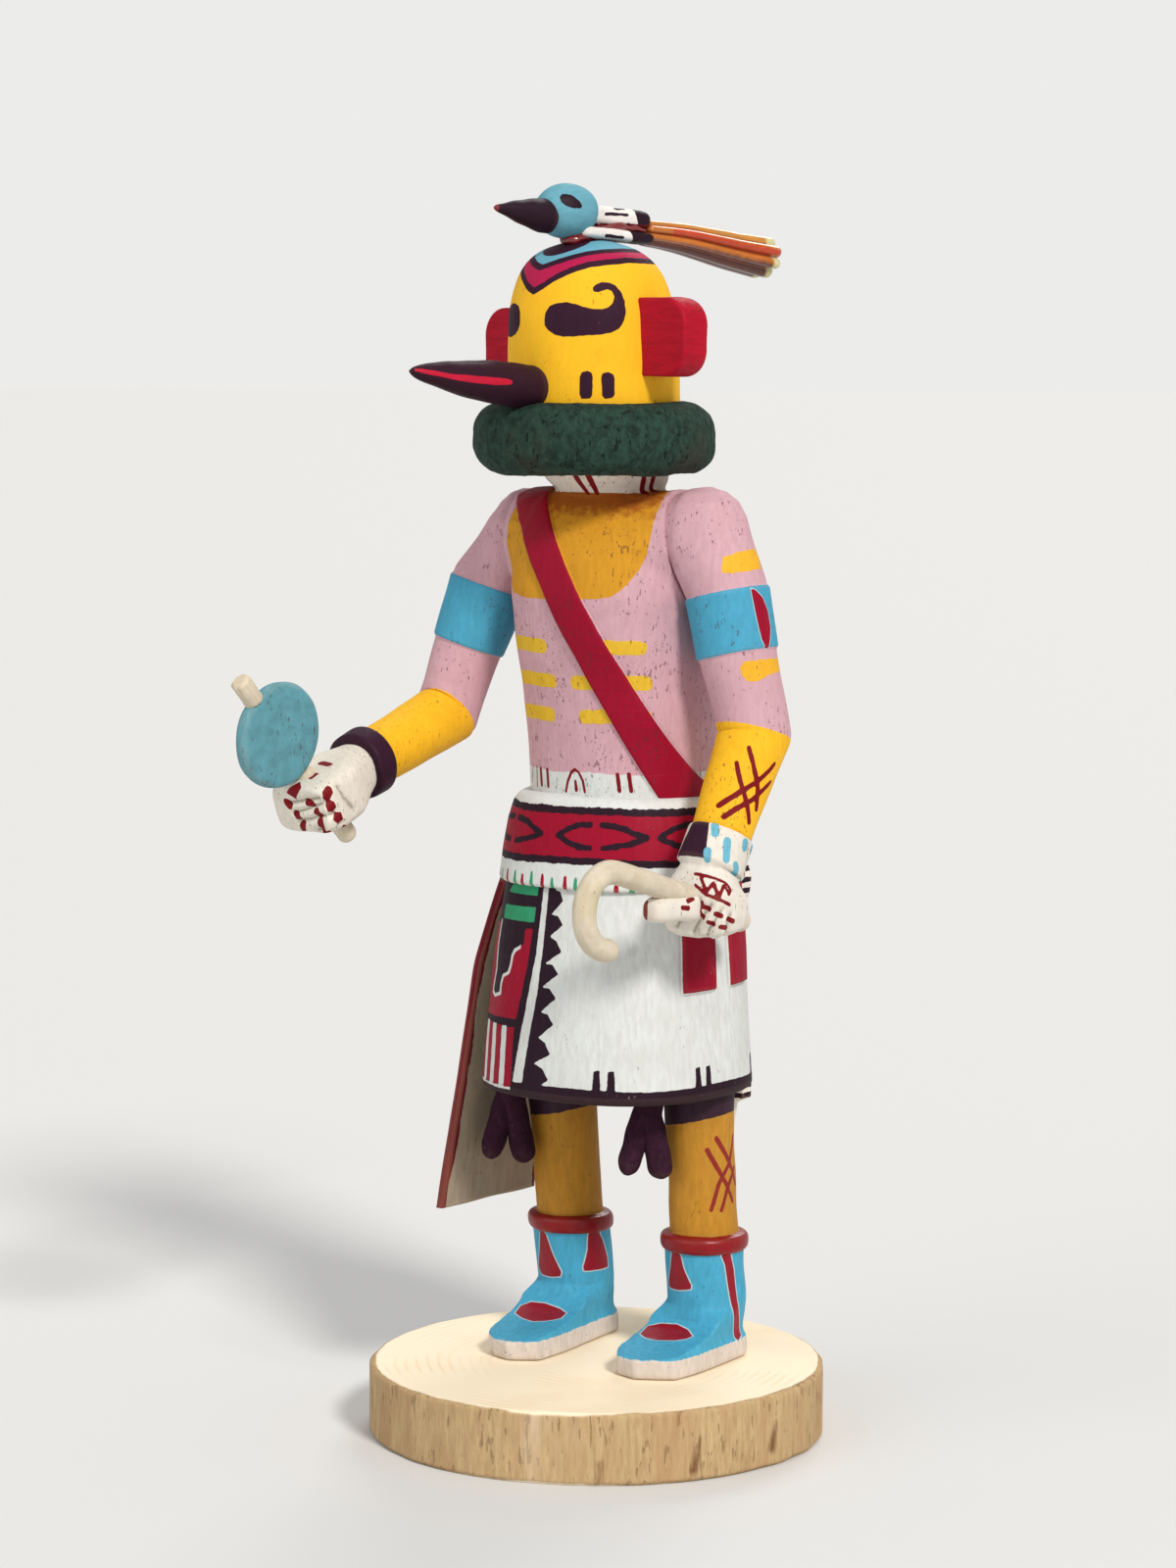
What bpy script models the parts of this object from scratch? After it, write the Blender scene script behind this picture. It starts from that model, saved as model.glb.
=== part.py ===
"""Carved kachina doll standing on a slice of raw wood.

Metres, +Z up. The origin is the centre of the base's underside. The doll looks along -Y,
its left hand is at +X and its back at +Y. The named sizes below are in millimetres.
"""
import math

import bmesh
import bpy
from mathutils import Matrix, Vector

MM = 0.001

# Base: a slice of a branch, nearly round.
BASE_DIAMETER = 100.0
BASE_HEIGHT = 15.5
BASE_EDGE = 0.7

# Clearance between pieces that touch.
GAP = 0.3

# Heights of the figure above the ground under the base.
HEM_Z = 75.6
SASH_BOTTOM_Z = 121.0
BELT_TOP_Z = 140.4
BELT_END_Z = 99.2
SHOULDER_Z = 205.0
NECK_TOP_Z = 209.6
CROWN_Z = 259.4

# Half widths of the trunk across and front to back.
HEM_HALF = (28.6, 27.0)
BELT_HALF = (26.0, 24.3)
WAIST_HALF = (20.6, 18.3)
CHEST_HALF = (21.8, 21.6)
SIDE_X = 21.8

# Strap across the chest.
STRAP_WIDTH = 7.8
STRAP_RAISE = 0.8

# Head and ruff.
HEAD_RADIUS = 18.5
HEAD_TURN = 8.0
RUFF_REACH = 7.5
RUFF_RADIUS = HEAD_RADIUS + RUFF_REACH
RUFF_BOTTOM_Z = 209.6
RUFF_TOP_Z = 225.0
RUFF_CORNER = 4.6

# Mask beak, ears and the bird on the crown.
BEAK_LENGTH = 33.6
BEAK_RADIUS = 4.7
EAR_REACH = 31.0
EAR_BOTTOM_Z = RUFF_TOP_Z + 5.4
EAR_TOP_Z = EAR_BOTTOM_Z + 16.6
EAR_THICK = 7.0
BIRD_RADIUS = 5.9
BIRD_BEAK_RADIUS = 3.2
BIRD_BEAK_LENGTH = 13.6
TAIL_LENGTH = 37.6

# Arms.
UPPER_ARM_RADIUS = 8.7
ELBOW_RADIUS = 7.7
WRIST_RADIUS = 6.2
ARM_BAND_RAISE = 0.45
ARM_PLANE_X = SIDE_X + GAP

# Legs and boots.
LEG_RADIUS = 7.4
BOOT_RADIUS = 8.7
BOOT_RING_RAISE = 0.9
BOOT_TOP_Z = 43.5
SOLE_HEIGHT = 4.2

# Things held and hung.
CROOK_RADIUS = 2.5
HANDLE_RADIUS = 2.1
GOURD_RADIUS = 11.2
GOURD_THICK = 3.6
BOARD_THICK = 2.2
PELT_THICK = 3.4

TRUNK_SIDES = 32


def clear_scene():
    for item in list(bpy.data.objects):
        bpy.data.objects.remove(item, do_unlink=True)


def make_collection(name):
    collection = bpy.data.collections.new(name)
    bpy.context.scene.collection.children.link(collection)
    return collection


def make_material(name, colour, roughness):
    material = bpy.data.materials.new(name)
    material.use_nodes = True
    shader = material.node_tree.nodes["Principled BSDF"]
    shader.inputs["Base Color"].default_value = (*colour, 1.0)
    shader.inputs["Roughness"].default_value = roughness
    shader.inputs["Metallic"].default_value = 0.0
    return material


def mesh_object(name, mesh, collection, material=None, sharp=35.0):
    item = bpy.data.objects.new(name, mesh)
    collection.objects.link(item)
    if material is not None:
        mesh.materials.append(material)
    mesh.shade_smooth()
    mesh.set_sharp_from_angle(angle=math.radians(sharp))
    return item


def loft(name, rings, collection, material=None, sharp=35.0):
    """Skin a list of rings with the same number of points and close both ends."""
    work = bmesh.new()
    rows = [[work.verts.new(Vector(point) * MM) for point in ring] for ring in rings]
    count = len(rows[0])
    for lower, upper in zip(rows, rows[1:]):
        for i in range(count):
            j = (i + 1) % count
            work.faces.new((lower[i], lower[j], upper[j], upper[i]))
    work.faces.new(list(reversed(rows[0])))
    work.faces.new(rows[-1])
    bmesh.ops.recalc_face_normals(work, faces=work.faces)
    mesh = bpy.data.meshes.new(name)
    work.to_mesh(mesh)
    work.free()
    return mesh_object(name, mesh, collection, material, sharp)


def add_boolean(item, cutter, operation):
    modifier = item.modifiers.new(operation.lower() + "_" + cutter.name, "BOOLEAN")
    modifier.operation = operation
    modifier.solver = "EXACT"
    modifier.object = cutter
    cutter.hide_render = True
    cutter.display_type = "WIRE"
    return modifier


def oval(cx, cy, z, a, b, power, sides=TRUNK_SIDES):
    """Superellipse ring, widest across X at half width a and along Y at half width b."""
    ring = []
    for i in range(sides):
        angle = 2.0 * math.pi * i / sides
        c = math.cos(angle)
        s = math.sin(angle)
        x = cx + a * math.copysign(abs(c) ** (2.0 / power), c)
        y = cy + b * math.copysign(abs(s) ** (2.0 / power), s)
        ring.append((x, y, z))
    return ring


def between(table, value):
    """Straight interpolation in a table of (value, number, number ...) rows."""
    if value <= table[0][0]:
        return table[0][1:]
    for low, high in zip(table, table[1:]):
        if value <= high[0]:
            t = (value - low[0]) / (high[0] - low[0])
            return tuple(p + (q - p) * t for p, q in zip(low[1:], high[1:]))
    return table[-1][1:]


def trunk_table():
    """Sections of the trunk: height, centre Y, half widths, power."""
    hem_a, hem_b = HEM_HALF
    belt_a, belt_b = BELT_HALF
    waist_a, waist_b = WAIST_HALF
    chest_a, chest_b = CHEST_HALF
    return [
        (HEM_Z, 7.0, hem_a - 0.4, hem_b - 0.4, 2.4),
        (HEM_Z + 0.5, 7.0, hem_a, hem_b, 2.4),
        (HEM_Z + 10.0, 7.3, hem_a - 0.6, hem_b - 0.5, 2.4),
        (HEM_Z + 28.0, 7.9, hem_a - 1.8, hem_b - 1.8, 2.4),
        (SASH_BOTTOM_Z - 0.2, 8.9, belt_a - 0.9, belt_b - 1.0, 2.35),
        (SASH_BOTTOM_Z, 8.9, belt_a + 0.0, belt_b + 0.1, 2.35),
        (SASH_BOTTOM_Z + 0.7, 8.9, belt_a + 0.35, belt_b + 0.4, 2.35),
        (SASH_BOTTOM_Z + 13.5, 9.7, belt_a - 1.0, belt_b - 1.0, 2.3),
        (BELT_TOP_Z - 1.6, 10.0, belt_a - 2.1, belt_b - 2.1, 2.3),
        (BELT_TOP_Z - 0.5, 10.0, belt_a - 2.9, belt_b - 2.8, 2.3),
        (BELT_TOP_Z, 10.0, belt_a - 3.9, belt_b - 3.8, 2.3),
        (BELT_TOP_Z + 0.2, 9.9, waist_a, waist_b, 2.3),
        (BELT_TOP_Z + 14.0, 9.1, waist_a + 0.3, waist_b + 0.4, 2.3),
        (BELT_TOP_Z + 24.0, 8.5, chest_a - 0.5, chest_b - 2.2, 2.35),
        (BELT_TOP_Z + 34.0, 7.8, chest_a, chest_b - 0.8, 2.4),
        (BELT_TOP_Z + 43.0, 7.2, chest_a, chest_b, 2.45),
        (BELT_TOP_Z + 51.0, 6.6, chest_a, chest_b - 1.7, 2.5),
        (SHOULDER_Z - 8.0, 6.1, chest_a, chest_b - 4.0, 2.6),
        (SHOULDER_Z - 4.4, 5.8, chest_a, chest_b - 6.6, 2.7),
        (SHOULDER_Z - 2.2, 5.6, chest_a - 1.2, chest_b - 8.6, 2.6),
        (SHOULDER_Z - 0.7, 5.4, chest_a - 4.4, chest_b - 10.2, 2.5),
        (SHOULDER_Z + 0.3, 5.0, chest_a - 8.6, chest_b - 11.0, 2.3),
    ]


def trunk_rings(grow=0.0, low=None, high=None):
    rings = []
    for z, cy, a, b, power in trunk_table():
        if low is not None and z < low:
            continue
        if high is not None and z > high:
            continue
        ring = oval(0.0, cy, z, a + grow, b + grow, power)
        if z > BELT_TOP_Z + 30.0:
            side = SIDE_X if grow == 0.0 else SIDE_X - 0.3
            ring = [(min(max(x, -side), side), y, height) for x, y, height in ring]
        rings.append(ring)
    return rings


def head_axis_y(z):
    """The figure leans forward: centre of the neck and head at a height."""
    table = [
        (SHOULDER_Z, 4.6),
        (NECK_TOP_Z + 0.4, 3.0),
        (NECK_TOP_Z + 0.8, -0.9),
        (RUFF_TOP_Z, -1.1),
        (CROWN_Z, -2.8),
    ]
    return between(table, z)[0]


def head_profile():
    """Outer radius of the neck and head against height."""
    return [
        (SHOULDER_Z + 0.8, 10.9),
        (NECK_TOP_Z - 1.2, 13.2),
        (NECK_TOP_Z + 0.4, 13.6),
        (NECK_TOP_Z + 2.0, HEAD_RADIUS - 0.1),
        (RUFF_TOP_Z + 3.6, HEAD_RADIUS),
        (RUFF_TOP_Z + 12.0, HEAD_RADIUS - 0.15),
        (CROWN_Z - 16.0, HEAD_RADIUS - 0.6),
        (CROWN_Z - 11.5, HEAD_RADIUS - 1.5),
        (CROWN_Z - 7.4, HEAD_RADIUS - 2.9),
        (CROWN_Z - 4.2, HEAD_RADIUS - 5.3),
        (CROWN_Z - 2.0, HEAD_RADIUS - 8.4),
        (CROWN_Z - 0.6, HEAD_RADIUS - 12.4),
        (CROWN_Z, HEAD_RADIUS - 16.4),
    ]


def head_rings(grow=0.0):
    rings = []
    for z, radius in head_profile():
        rings.append(oval(0.0, head_axis_y(z), z, radius + grow, radius + grow, 2.0))
    return rings


def head_frame():
    """Origin, forward and sideways directions of the turned head."""
    turn = math.radians(HEAD_TURN)
    forward = Vector((-math.sin(turn), -math.cos(turn), 0.0))
    side = Vector((math.cos(turn), -math.sin(turn), 0.0))
    return Vector((0.0, -1.3, 0.0)), forward, side


def head_point(ahead, across, z):
    origin, forward, side = head_frame()
    point = origin + forward * ahead + side * across
    return (point.x, point.y, z)


def tube_rings(path, halves, power=2.0, sides=20, up=(0.0, 0.0, 1.0)):
    """Rings round a path; halves holds the half widths along side and up at each point."""
    points = [Vector(p) for p in path]
    rings = []
    for i, point in enumerate(points):
        before = points[max(i - 1, 0)]
        after = points[min(i + 1, len(points) - 1)]
        one = (point - before).normalized() if i > 0 else (after - point).normalized()
        two = (after - point).normalized() if i < len(points) - 1 else one
        along = (one + two).normalized()
        side = Vector(up).cross(along).normalized()
        over = along.cross(side)
        stretch = 1.0 / max(along.dot(one), 0.5)
        bend = two - one
        half_side, half_over = halves[i][0], halves[i][1]
        shape = halves[i][2] if len(halves[i]) > 2 else power
        ring = []
        for k in range(sides):
            angle = 2.0 * math.pi * k / sides
            c = math.cos(angle)
            s = math.sin(angle)
            u = half_side * math.copysign(abs(c) ** (2.0 / shape), c)
            v = half_over * math.copysign(abs(s) ** (2.0 / shape), s)
            offset = side * u + over * v
            if bend.length > 0.05:
                axis = bend.normalized()
                offset += axis * offset.dot(axis) * (stretch - 1.0)
            ring.append(tuple(point + offset))
        rings.append(ring)
    return rings


def build_base(collection, material):
    work = bmesh.new()
    radius = BASE_DIAMETER / 2.0
    bmesh.ops.create_cone(work, cap_ends=True, segments=56, radius1=radius * MM,
                          radius2=radius * MM, depth=BASE_HEIGHT * MM)
    for vert in work.verts:
        angle = math.atan2(vert.co.y, vert.co.x)
        swell = 0.35 * math.sin(2.0 * angle + 0.6) + 0.25 * math.sin(3.0 * angle + 2.0)
        swell += 0.12 * math.sin(7.0 * angle)
        scale = 1.0 + (swell - 0.35) / radius
        vert.co.x *= scale
        vert.co.y *= scale
        vert.co.z += BASE_HEIGHT * MM / 2.0
    mesh = bpy.data.meshes.new("base")
    work.to_mesh(mesh)
    work.free()
    item = mesh_object("base", mesh, collection, material)
    bevel = item.modifiers.new("worn_edge", "BEVEL")
    bevel.width = BASE_EDGE * MM
    bevel.segments = 1
    bevel.limit_method = "ANGLE"
    bevel.angle_limit = math.radians(50.0)
    return item


def foot_outline(toe, turn, heel):
    """Distance from the heel centre to the sole's edge, and the directions it is sampled at."""
    corners = [Vector(corner) for corner in toe]
    steps = 12
    outline = []
    for i in range(steps + 1):
        angle = math.radians(100.0) + math.radians(160.0) * i / steps
        outline.append(Vector((math.cos(angle), math.sin(angle))) * BOOT_RADIUS)
    outline.extend(reversed(corners))
    forward = Vector((math.sin(turn), -math.cos(turn)))
    side = Vector((math.cos(turn), math.sin(turn)))
    return [Vector(heel) + forward * p.x - side * p.y for p in outline]


def leg_rings(toe, turn_degrees, heel, ring_centre, top_centre):
    """One ring list from the sole, over the foot, up the boot and leg into the kilt."""
    turn = math.radians(turn_degrees)
    forward = Vector((math.sin(turn), -math.cos(turn)))
    outline = foot_outline(toe, turn, heel)
    heel = Vector(heel)
    ground = BASE_HEIGHT + GAP

    def centre(z):
        rows = [
            (BASE_HEIGHT, heel.x, heel.y),
            (BOOT_TOP_Z, ring_centre[0], ring_centre[1]),
            (HEM_Z, top_centre[0], top_centre[1]),
        ]
        x, y = between(rows, z)
        return Vector((x, y))

    toe_reach = max((p - heel).dot(forward) for p in outline)
    rings = []
    levels = [
        (0.0, 1.0, -0.4),
        (0.5, 1.0, 0.0),
        (SOLE_HEIGHT - 0.1, 1.0, 0.0),
        (SOLE_HEIGHT + 0.4, 0.93, -0.3),
        (SOLE_HEIGHT + 1.1, 0.74, -0.6),
        (SOLE_HEIGHT + 2.0, 0.56, -0.7),
        (SOLE_HEIGHT + 3.2, 0.41, -0.6),
        (SOLE_HEIGHT + 5.0, 0.30, -0.3),
    ]
    for rise, reach, inset in levels:
        z = ground + rise
        middle = centre(z)
        limit = toe_reach * reach
        ring = []
        for point in outline:
            local = point - heel
            ahead = local.dot(forward)
            if ahead > limit:
                local -= forward * (ahead - limit)
            length = local.length
            local *= (length + inset) / length
            place = middle + local
            ring.append((place.x, place.y, z))
        rings.append(ring)
    angles = [math.atan2((p - heel).y, (p - heel).x) for p in outline]
    count = len(outline)
    first = angles[0]
    even = []
    arc = 12
    back_span = (angles[arc] - first + math.pi) % (2.0 * math.pi) - math.pi
    turn_sign = 1.0 if back_span > 0.0 else -1.0
    front_span = turn_sign * 2.0 * math.pi - back_span
    for i in range(count):
        if i <= arc:
            even.append(first + back_span * i / arc)
        else:
            even.append(first + back_span + front_span * (i - arc) / (count - arc))
    uppers = [
        (ground + SOLE_HEIGHT + 8.0, BOOT_RADIUS - 0.1),
        (BOOT_TOP_Z - 3.8, BOOT_RADIUS),
        (BOOT_TOP_Z - 3.5, BOOT_RADIUS + BOOT_RING_RAISE * 0.8),
        (BOOT_TOP_Z - 2.4, BOOT_RADIUS + BOOT_RING_RAISE),
        (BOOT_TOP_Z - 0.8, BOOT_RADIUS + BOOT_RING_RAISE),
        (BOOT_TOP_Z, BOOT_RADIUS + BOOT_RING_RAISE * 0.2),
        (BOOT_TOP_Z + 0.1, LEG_RADIUS),
        (BOOT_TOP_Z + 12.0, LEG_RADIUS),
        (HEM_Z - 4.0, LEG_RADIUS + 0.3),
        (HEM_Z + 4.0, LEG_RADIUS + 0.5),
    ]
    for z, radius in uppers:
        middle = centre(z)
        rings.append([(middle.x + radius * math.cos(t), middle.y + radius * math.sin(t), z)
                      for t in even])
    return rings


def strap_band(cutters):
    """A raised band: the grown chest, kept only inside a slanting slab."""
    waist_a, waist_b = WAIST_HALF
    rings = [oval(0.0, 9.9, BELT_TOP_Z - 1.1, waist_a + STRAP_RAISE, waist_b + STRAP_RAISE, 2.3)]
    rings += trunk_rings(STRAP_RAISE, low=BELT_TOP_Z + 0.1)
    rings[-1] = [(x, y, z + 0.4) for x, y, z in rings[-1]]
    band = loft("strap_band", rings, cutters)
    top = Vector((-13.4, -5.7, SHOULDER_Z - 1.5))
    middle = Vector((4.0, -13.4, BELT_TOP_Z + 38.8))
    foot = Vector((19.9, 3.2, BELT_TOP_Z + 1.2))
    normal = (middle - top).cross(foot - top).normalized()
    slab_mesh = bpy.data.meshes.new("strap_slab")
    work = bmesh.new()
    bmesh.ops.create_cube(work, size=1.0)
    bmesh.ops.scale(work, vec=Vector((150.0, 150.0, STRAP_WIDTH)) * MM, verts=work.verts)
    turn = normal.to_track_quat("Z", "Y").to_matrix().to_4x4()
    bmesh.ops.transform(work, matrix=Matrix.Translation(middle * MM) @ turn, verts=work.verts)
    work.to_mesh(slab_mesh)
    work.free()
    slab = mesh_object("strap_slab", slab_mesh, cutters)
    add_boolean(band, slab, "INTERSECT")
    return band


def kilt_patch(name, start, stop, low, high, raise_by, cutters):
    """A raised flap on the kilt between two angles round its axis."""
    steps = 5
    levels = 4
    sides = 2 * (steps + 1)
    rings = []
    for k in range(levels + 1):
        z = low + (high - low) * k / levels
        cy, a, b, power = between(trunk_table(), min(z, SASH_BOTTOM_Z - 0.2))
        ring = []
        for i in range(sides):
            outer = i <= steps
            t = i / steps if outer else (sides - 1 - i) / steps
            angle = math.radians(start + (stop - start) * t)
            c = math.cos(angle)
            s = math.sin(angle)
            reach = (abs(c / a) ** power + abs(s / b) ** power) ** (-1.0 / power)
            reach += raise_by if outer else -2.0
            ring.append((reach * c, cy + reach * s, z))
        rings.append(ring)
    return loft(name, rings, cutters)


def build_body(collection, cutters, material):
    head = loft("body", trunk_rings() + head_rings(), collection, material)
    right_toe = [(8.0, 8.4), (15.0, 8.0), (21.5, 7.4), (28.3, 6.2), (32.6, 2.4), (34.2, -2.4),
                 (31.0, -8.2), (22.0, -9.0), (14.0, -8.9), (7.0, -8.7)]
    left_toe = [(7.0, 8.9), (12.0, 9.1), (17.0, 9.2), (23.2, 9.0), (27.8, 6.0), (29.6, 0.6),
                (25.4, -7.2), (18.0, -8.4), (12.0, -8.6), (6.0, -8.7)]
    right = leg_rings(right_toe, 6.5, (-19.2, 18.6), (-19.4, 14.9), (-19.5, 11.6))
    left = leg_rings(left_toe, 5.0, (17.1, 17.9), (17.5, 15.7), (17.9, 12.8))
    add_boolean(head, loft("leg_right_union", right, cutters), "UNION")
    add_boolean(head, loft("leg_left_union", left, cutters), "UNION")
    add_boolean(head, strap_band(cutters), "UNION")
    front_end = kilt_patch("belt_end_front", -23.7, -2.8, BELT_END_Z, SASH_BOTTOM_Z + 1.6, 0.9, cutters)
    side_end = kilt_patch("belt_end_side", 8.0, 26.0, BELT_END_Z, SASH_BOTTOM_Z + 1.6, 0.9, cutters)
    add_boolean(head, front_end, "UNION")
    add_boolean(head, side_end, "UNION")
    return head


def build_ruff(collection, cutters, material, beak_rings):
    rings = []
    inner = HEAD_RADIUS + GAP
    height = RUFF_TOP_Z - RUFF_BOTTOM_Z
    section = [(inner, RUFF_BOTTOM_Z + 1.0), (inner + 0.8, RUFF_BOTTOM_Z)]
    corner_steps = 3
    for low in (True, False):
        for i in range(corner_steps + 1):
            angle = math.pi / 2.0 * i / corner_steps
            if low:
                r = RUFF_RADIUS - RUFF_CORNER + RUFF_CORNER * math.sin(angle)
                z = RUFF_BOTTOM_Z + RUFF_CORNER - RUFF_CORNER * math.cos(angle)
            else:
                r = RUFF_RADIUS - RUFF_CORNER + RUFF_CORNER * math.cos(angle)
                z = RUFF_BOTTOM_Z + height - RUFF_CORNER + RUFF_CORNER * math.sin(angle)
            section.append((r, z))
    section.append((inner + 0.8, RUFF_TOP_Z))
    section.append((inner, RUFF_TOP_Z - 1.0))
    work = bmesh.new()
    sides = 36
    rows = []
    for k in range(sides):
        angle = 2.0 * math.pi * k / sides
        row = []
        for r, z in section:
            y = head_axis_y(RUFF_TOP_Z) + r * math.sin(angle)
            row.append(work.verts.new(Vector((r * math.cos(angle), y, z)) * MM))
        rows.append(row)
    count = len(section)
    for k in range(sides):
        this = rows[k]
        after = rows[(k + 1) % sides]
        for i in range(count):
            j = (i + 1) % count
            work.faces.new((this[i], after[i], after[j], this[j]))
    bmesh.ops.recalc_face_normals(work, faces=work.faces)
    mesh = bpy.data.meshes.new("ruff")
    work.to_mesh(mesh)
    work.free()
    item = mesh_object("ruff", mesh, collection, material, 60.0)
    add_boolean(item, loft("beak_notch", beak_rings, cutters), "DIFFERENCE")
    return item


def head_reach(z, across, grow):
    """How far ahead of the head's axis its skin lies at a height and a sideways place."""
    table = [(h, r) for h, r in head_profile()]
    radius = between(table, z)[0] + grow
    return math.sqrt(max(radius * radius - across * across, 0.01))


def beak_rings_at(grow, start_inside):
    """The long beak: round sections from the face to the blunt tip."""
    rings = []
    sides = 16
    shape = [(0.0, 1.0), (0.12, 1.0), (0.3, 0.96), (0.5, 0.85), (0.7, 0.66), (0.86, 0.44),
             (0.96, 0.25), (1.0, 0.1)]
    base_z = 228.2
    tip_z = 231.6
    start = HEAD_RADIUS + GAP
    for t, part in shape:
        ahead = start + BEAK_LENGTH * t
        radius = BEAK_RADIUS * part + grow
        middle = base_z + (tip_z - base_z) * t
        ring = []
        for k in range(sides):
            angle = 2.0 * math.pi * k / sides
            across = radius * math.cos(angle)
            z = middle + radius * math.sin(angle)
            place = ahead
            if t == 0.0:
                if start_inside:
                    place = ahead - 4.0
                else:
                    place = head_reach(z, across, GAP + 0.4)
            ring.append(head_point(place, across, z))
        rings.append(ring)
    return rings


def build_ear(name, sign, drop, collection, material):
    """A thick tab with a flat inner side shaped to the head and a rounded outer side."""
    corner = 4.6
    rings = []
    depths = [-EAR_THICK / 2.0, -EAR_THICK / 2.0 + 0.7, EAR_THICK / 2.0 - 0.7, EAR_THICK / 2.0]
    insets = [0.7, 0.0, 0.0, 0.7]
    for ahead, inset in zip(depths, insets):
        outline = []
        low = EAR_BOTTOM_Z - drop + inset
        high = EAR_TOP_Z - drop - inset
        reach = EAR_REACH - inset
        steps = 4
        for i in range(steps + 1):
            angle = math.pi / 2.0 * i / steps
            outline.append((reach - corner + corner * math.sin(angle),
                            low + corner - corner * math.cos(angle)))
        for i in range(steps + 1):
            angle = math.pi / 2.0 * i / steps
            outline.append((reach - corner + corner * math.cos(angle),
                            high - corner + corner * math.sin(angle)))
        inner_steps = 4
        for i in range(inner_steps + 1):
            z = high + (low - high) * i / inner_steps
            outline.append((head_reach(z, ahead, GAP + 0.05) + inset * 0.2, z))
        rings.append([head_point(ahead, sign * across, z) for across, z in outline])
    return loft(name, rings, collection, material)


def turned_rings(place_along, profile, sides=16):
    """Round sections along the head's forward line: (ahead, height, radius) rows."""
    rings = []
    for ahead, z, radius in profile:
        ring = []
        for k in range(sides):
            angle = 2.0 * math.pi * k / sides
            ring.append(head_point(ahead, place_along + radius * math.cos(angle),
                                   z + radius * math.sin(angle)))
        rings.append(ring)
    return rings


def build_bird(collection, cutters, materials):
    centre_ahead = 9.6
    centre_z = CROWN_Z + BIRD_RADIUS + 0.1
    ball = bpy.data.meshes.new("bird_head")
    work = bmesh.new()
    bmesh.ops.create_uvsphere(work, u_segments=16, v_segments=9, radius=BIRD_RADIUS * MM)
    shift = Vector(head_point(centre_ahead, 0.0, centre_z)) * MM
    bmesh.ops.translate(work, vec=shift, verts=work.verts)
    work.to_mesh(ball)
    work.free()
    mesh_object("bird_head", ball, collection, materials["turquoise"], 60.0)

    beak_start = centre_ahead + BIRD_RADIUS - 1.2
    profile = []
    for t, part in ((0.0, 1.0), (0.12, 1.0), (0.45, 0.78), (0.8, 0.42), (0.96, 0.2), (1.0, 0.08)):
        profile.append((beak_start + BIRD_BEAK_LENGTH * t, centre_z - 1.4 + 1.5 * t,
                        BIRD_BEAK_RADIUS * part))
    beak = loft("bird_beak", turned_rings(0.0, profile), collection, materials["black"])
    grown = bpy.data.meshes.new("bird_head_room")
    work = bmesh.new()
    bmesh.ops.create_uvsphere(work, u_segments=16, v_segments=9,
                              radius=(BIRD_RADIUS + GAP) * MM)
    bmesh.ops.translate(work, vec=shift, verts=work.verts)
    work.to_mesh(grown)
    work.free()
    room = mesh_object("bird_head_room", grown, cutters, None, 60.0)
    add_boolean(beak, room, "DIFFERENCE")

    wing_specs = (
        ("wing_upper", 0.0, CROWN_Z + 5.7, CROWN_Z + 4.4, 3.6, 2.3),
        ("wing_lower", 1.4, CROWN_Z + 1.75, CROWN_Z + 0.45, 3.2, 1.3),
    )
    for name, across, z_front, z_back, half_wide, half_high in wing_specs:
        rings = []
        front = centre_ahead - BIRD_RADIUS + 1.6
        back = -14.6
        for t, part in ((0.0, 0.8), (0.08, 1.0), (0.5, 1.0), (0.92, 0.96), (1.0, 0.75)):
            ahead = front + (back - front) * t
            z = z_front + (z_back - z_front) * t
            ring = []
            for k in range(16):
                angle = 2.0 * math.pi * k / 16
                c = math.cos(angle)
                s = math.sin(angle)
                u = half_wide * part * math.copysign(abs(c) ** 0.7, c)
                v = half_high * part * math.copysign(abs(s) ** 0.7, s)
                ring.append(head_point(ahead, across + u, z + v))
            rings.append(ring)
        wing = loft(name, rings, collection, materials["white"])
        add_boolean(wing, room, "DIFFERENCE")

    rings = []
    sides = 27
    lobes = 9
    for t, half_wide, half_high, z in ((0.0, 3.2, 2.7, CROWN_Z + 1.9),
                                       (0.06, 3.6, 3.0, CROWN_Z + 1.8),
                                       (0.3, 4.3, 3.4, CROWN_Z + 0.9),
                                       (0.65, 5.1, 4.2, CROWN_Z - 1.2),
                                       (0.93, 5.8, 4.9, CROWN_Z - 2.7),
                                       (1.0, 5.4, 4.5, CROWN_Z - 3.0)):
        ahead = -14.6 - GAP - TAIL_LENGTH * t
        ring = []
        for k in range(sides):
            angle = 2.0 * math.pi * k / sides
            flute = 1.0 - 0.07 * (0.5 - 0.5 * math.cos(lobes * angle))
            c = math.cos(angle)
            s = math.sin(angle)
            u = half_wide * flute * math.copysign(abs(c) ** 0.75, c)
            v = half_high * flute * math.copysign(abs(s) ** 0.75, s)
            ring.append(head_point(ahead, 0.6 + u, z + v))
        rings.append(ring)
    loft("tail_feathers", rings, collection, materials["amber"])


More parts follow.
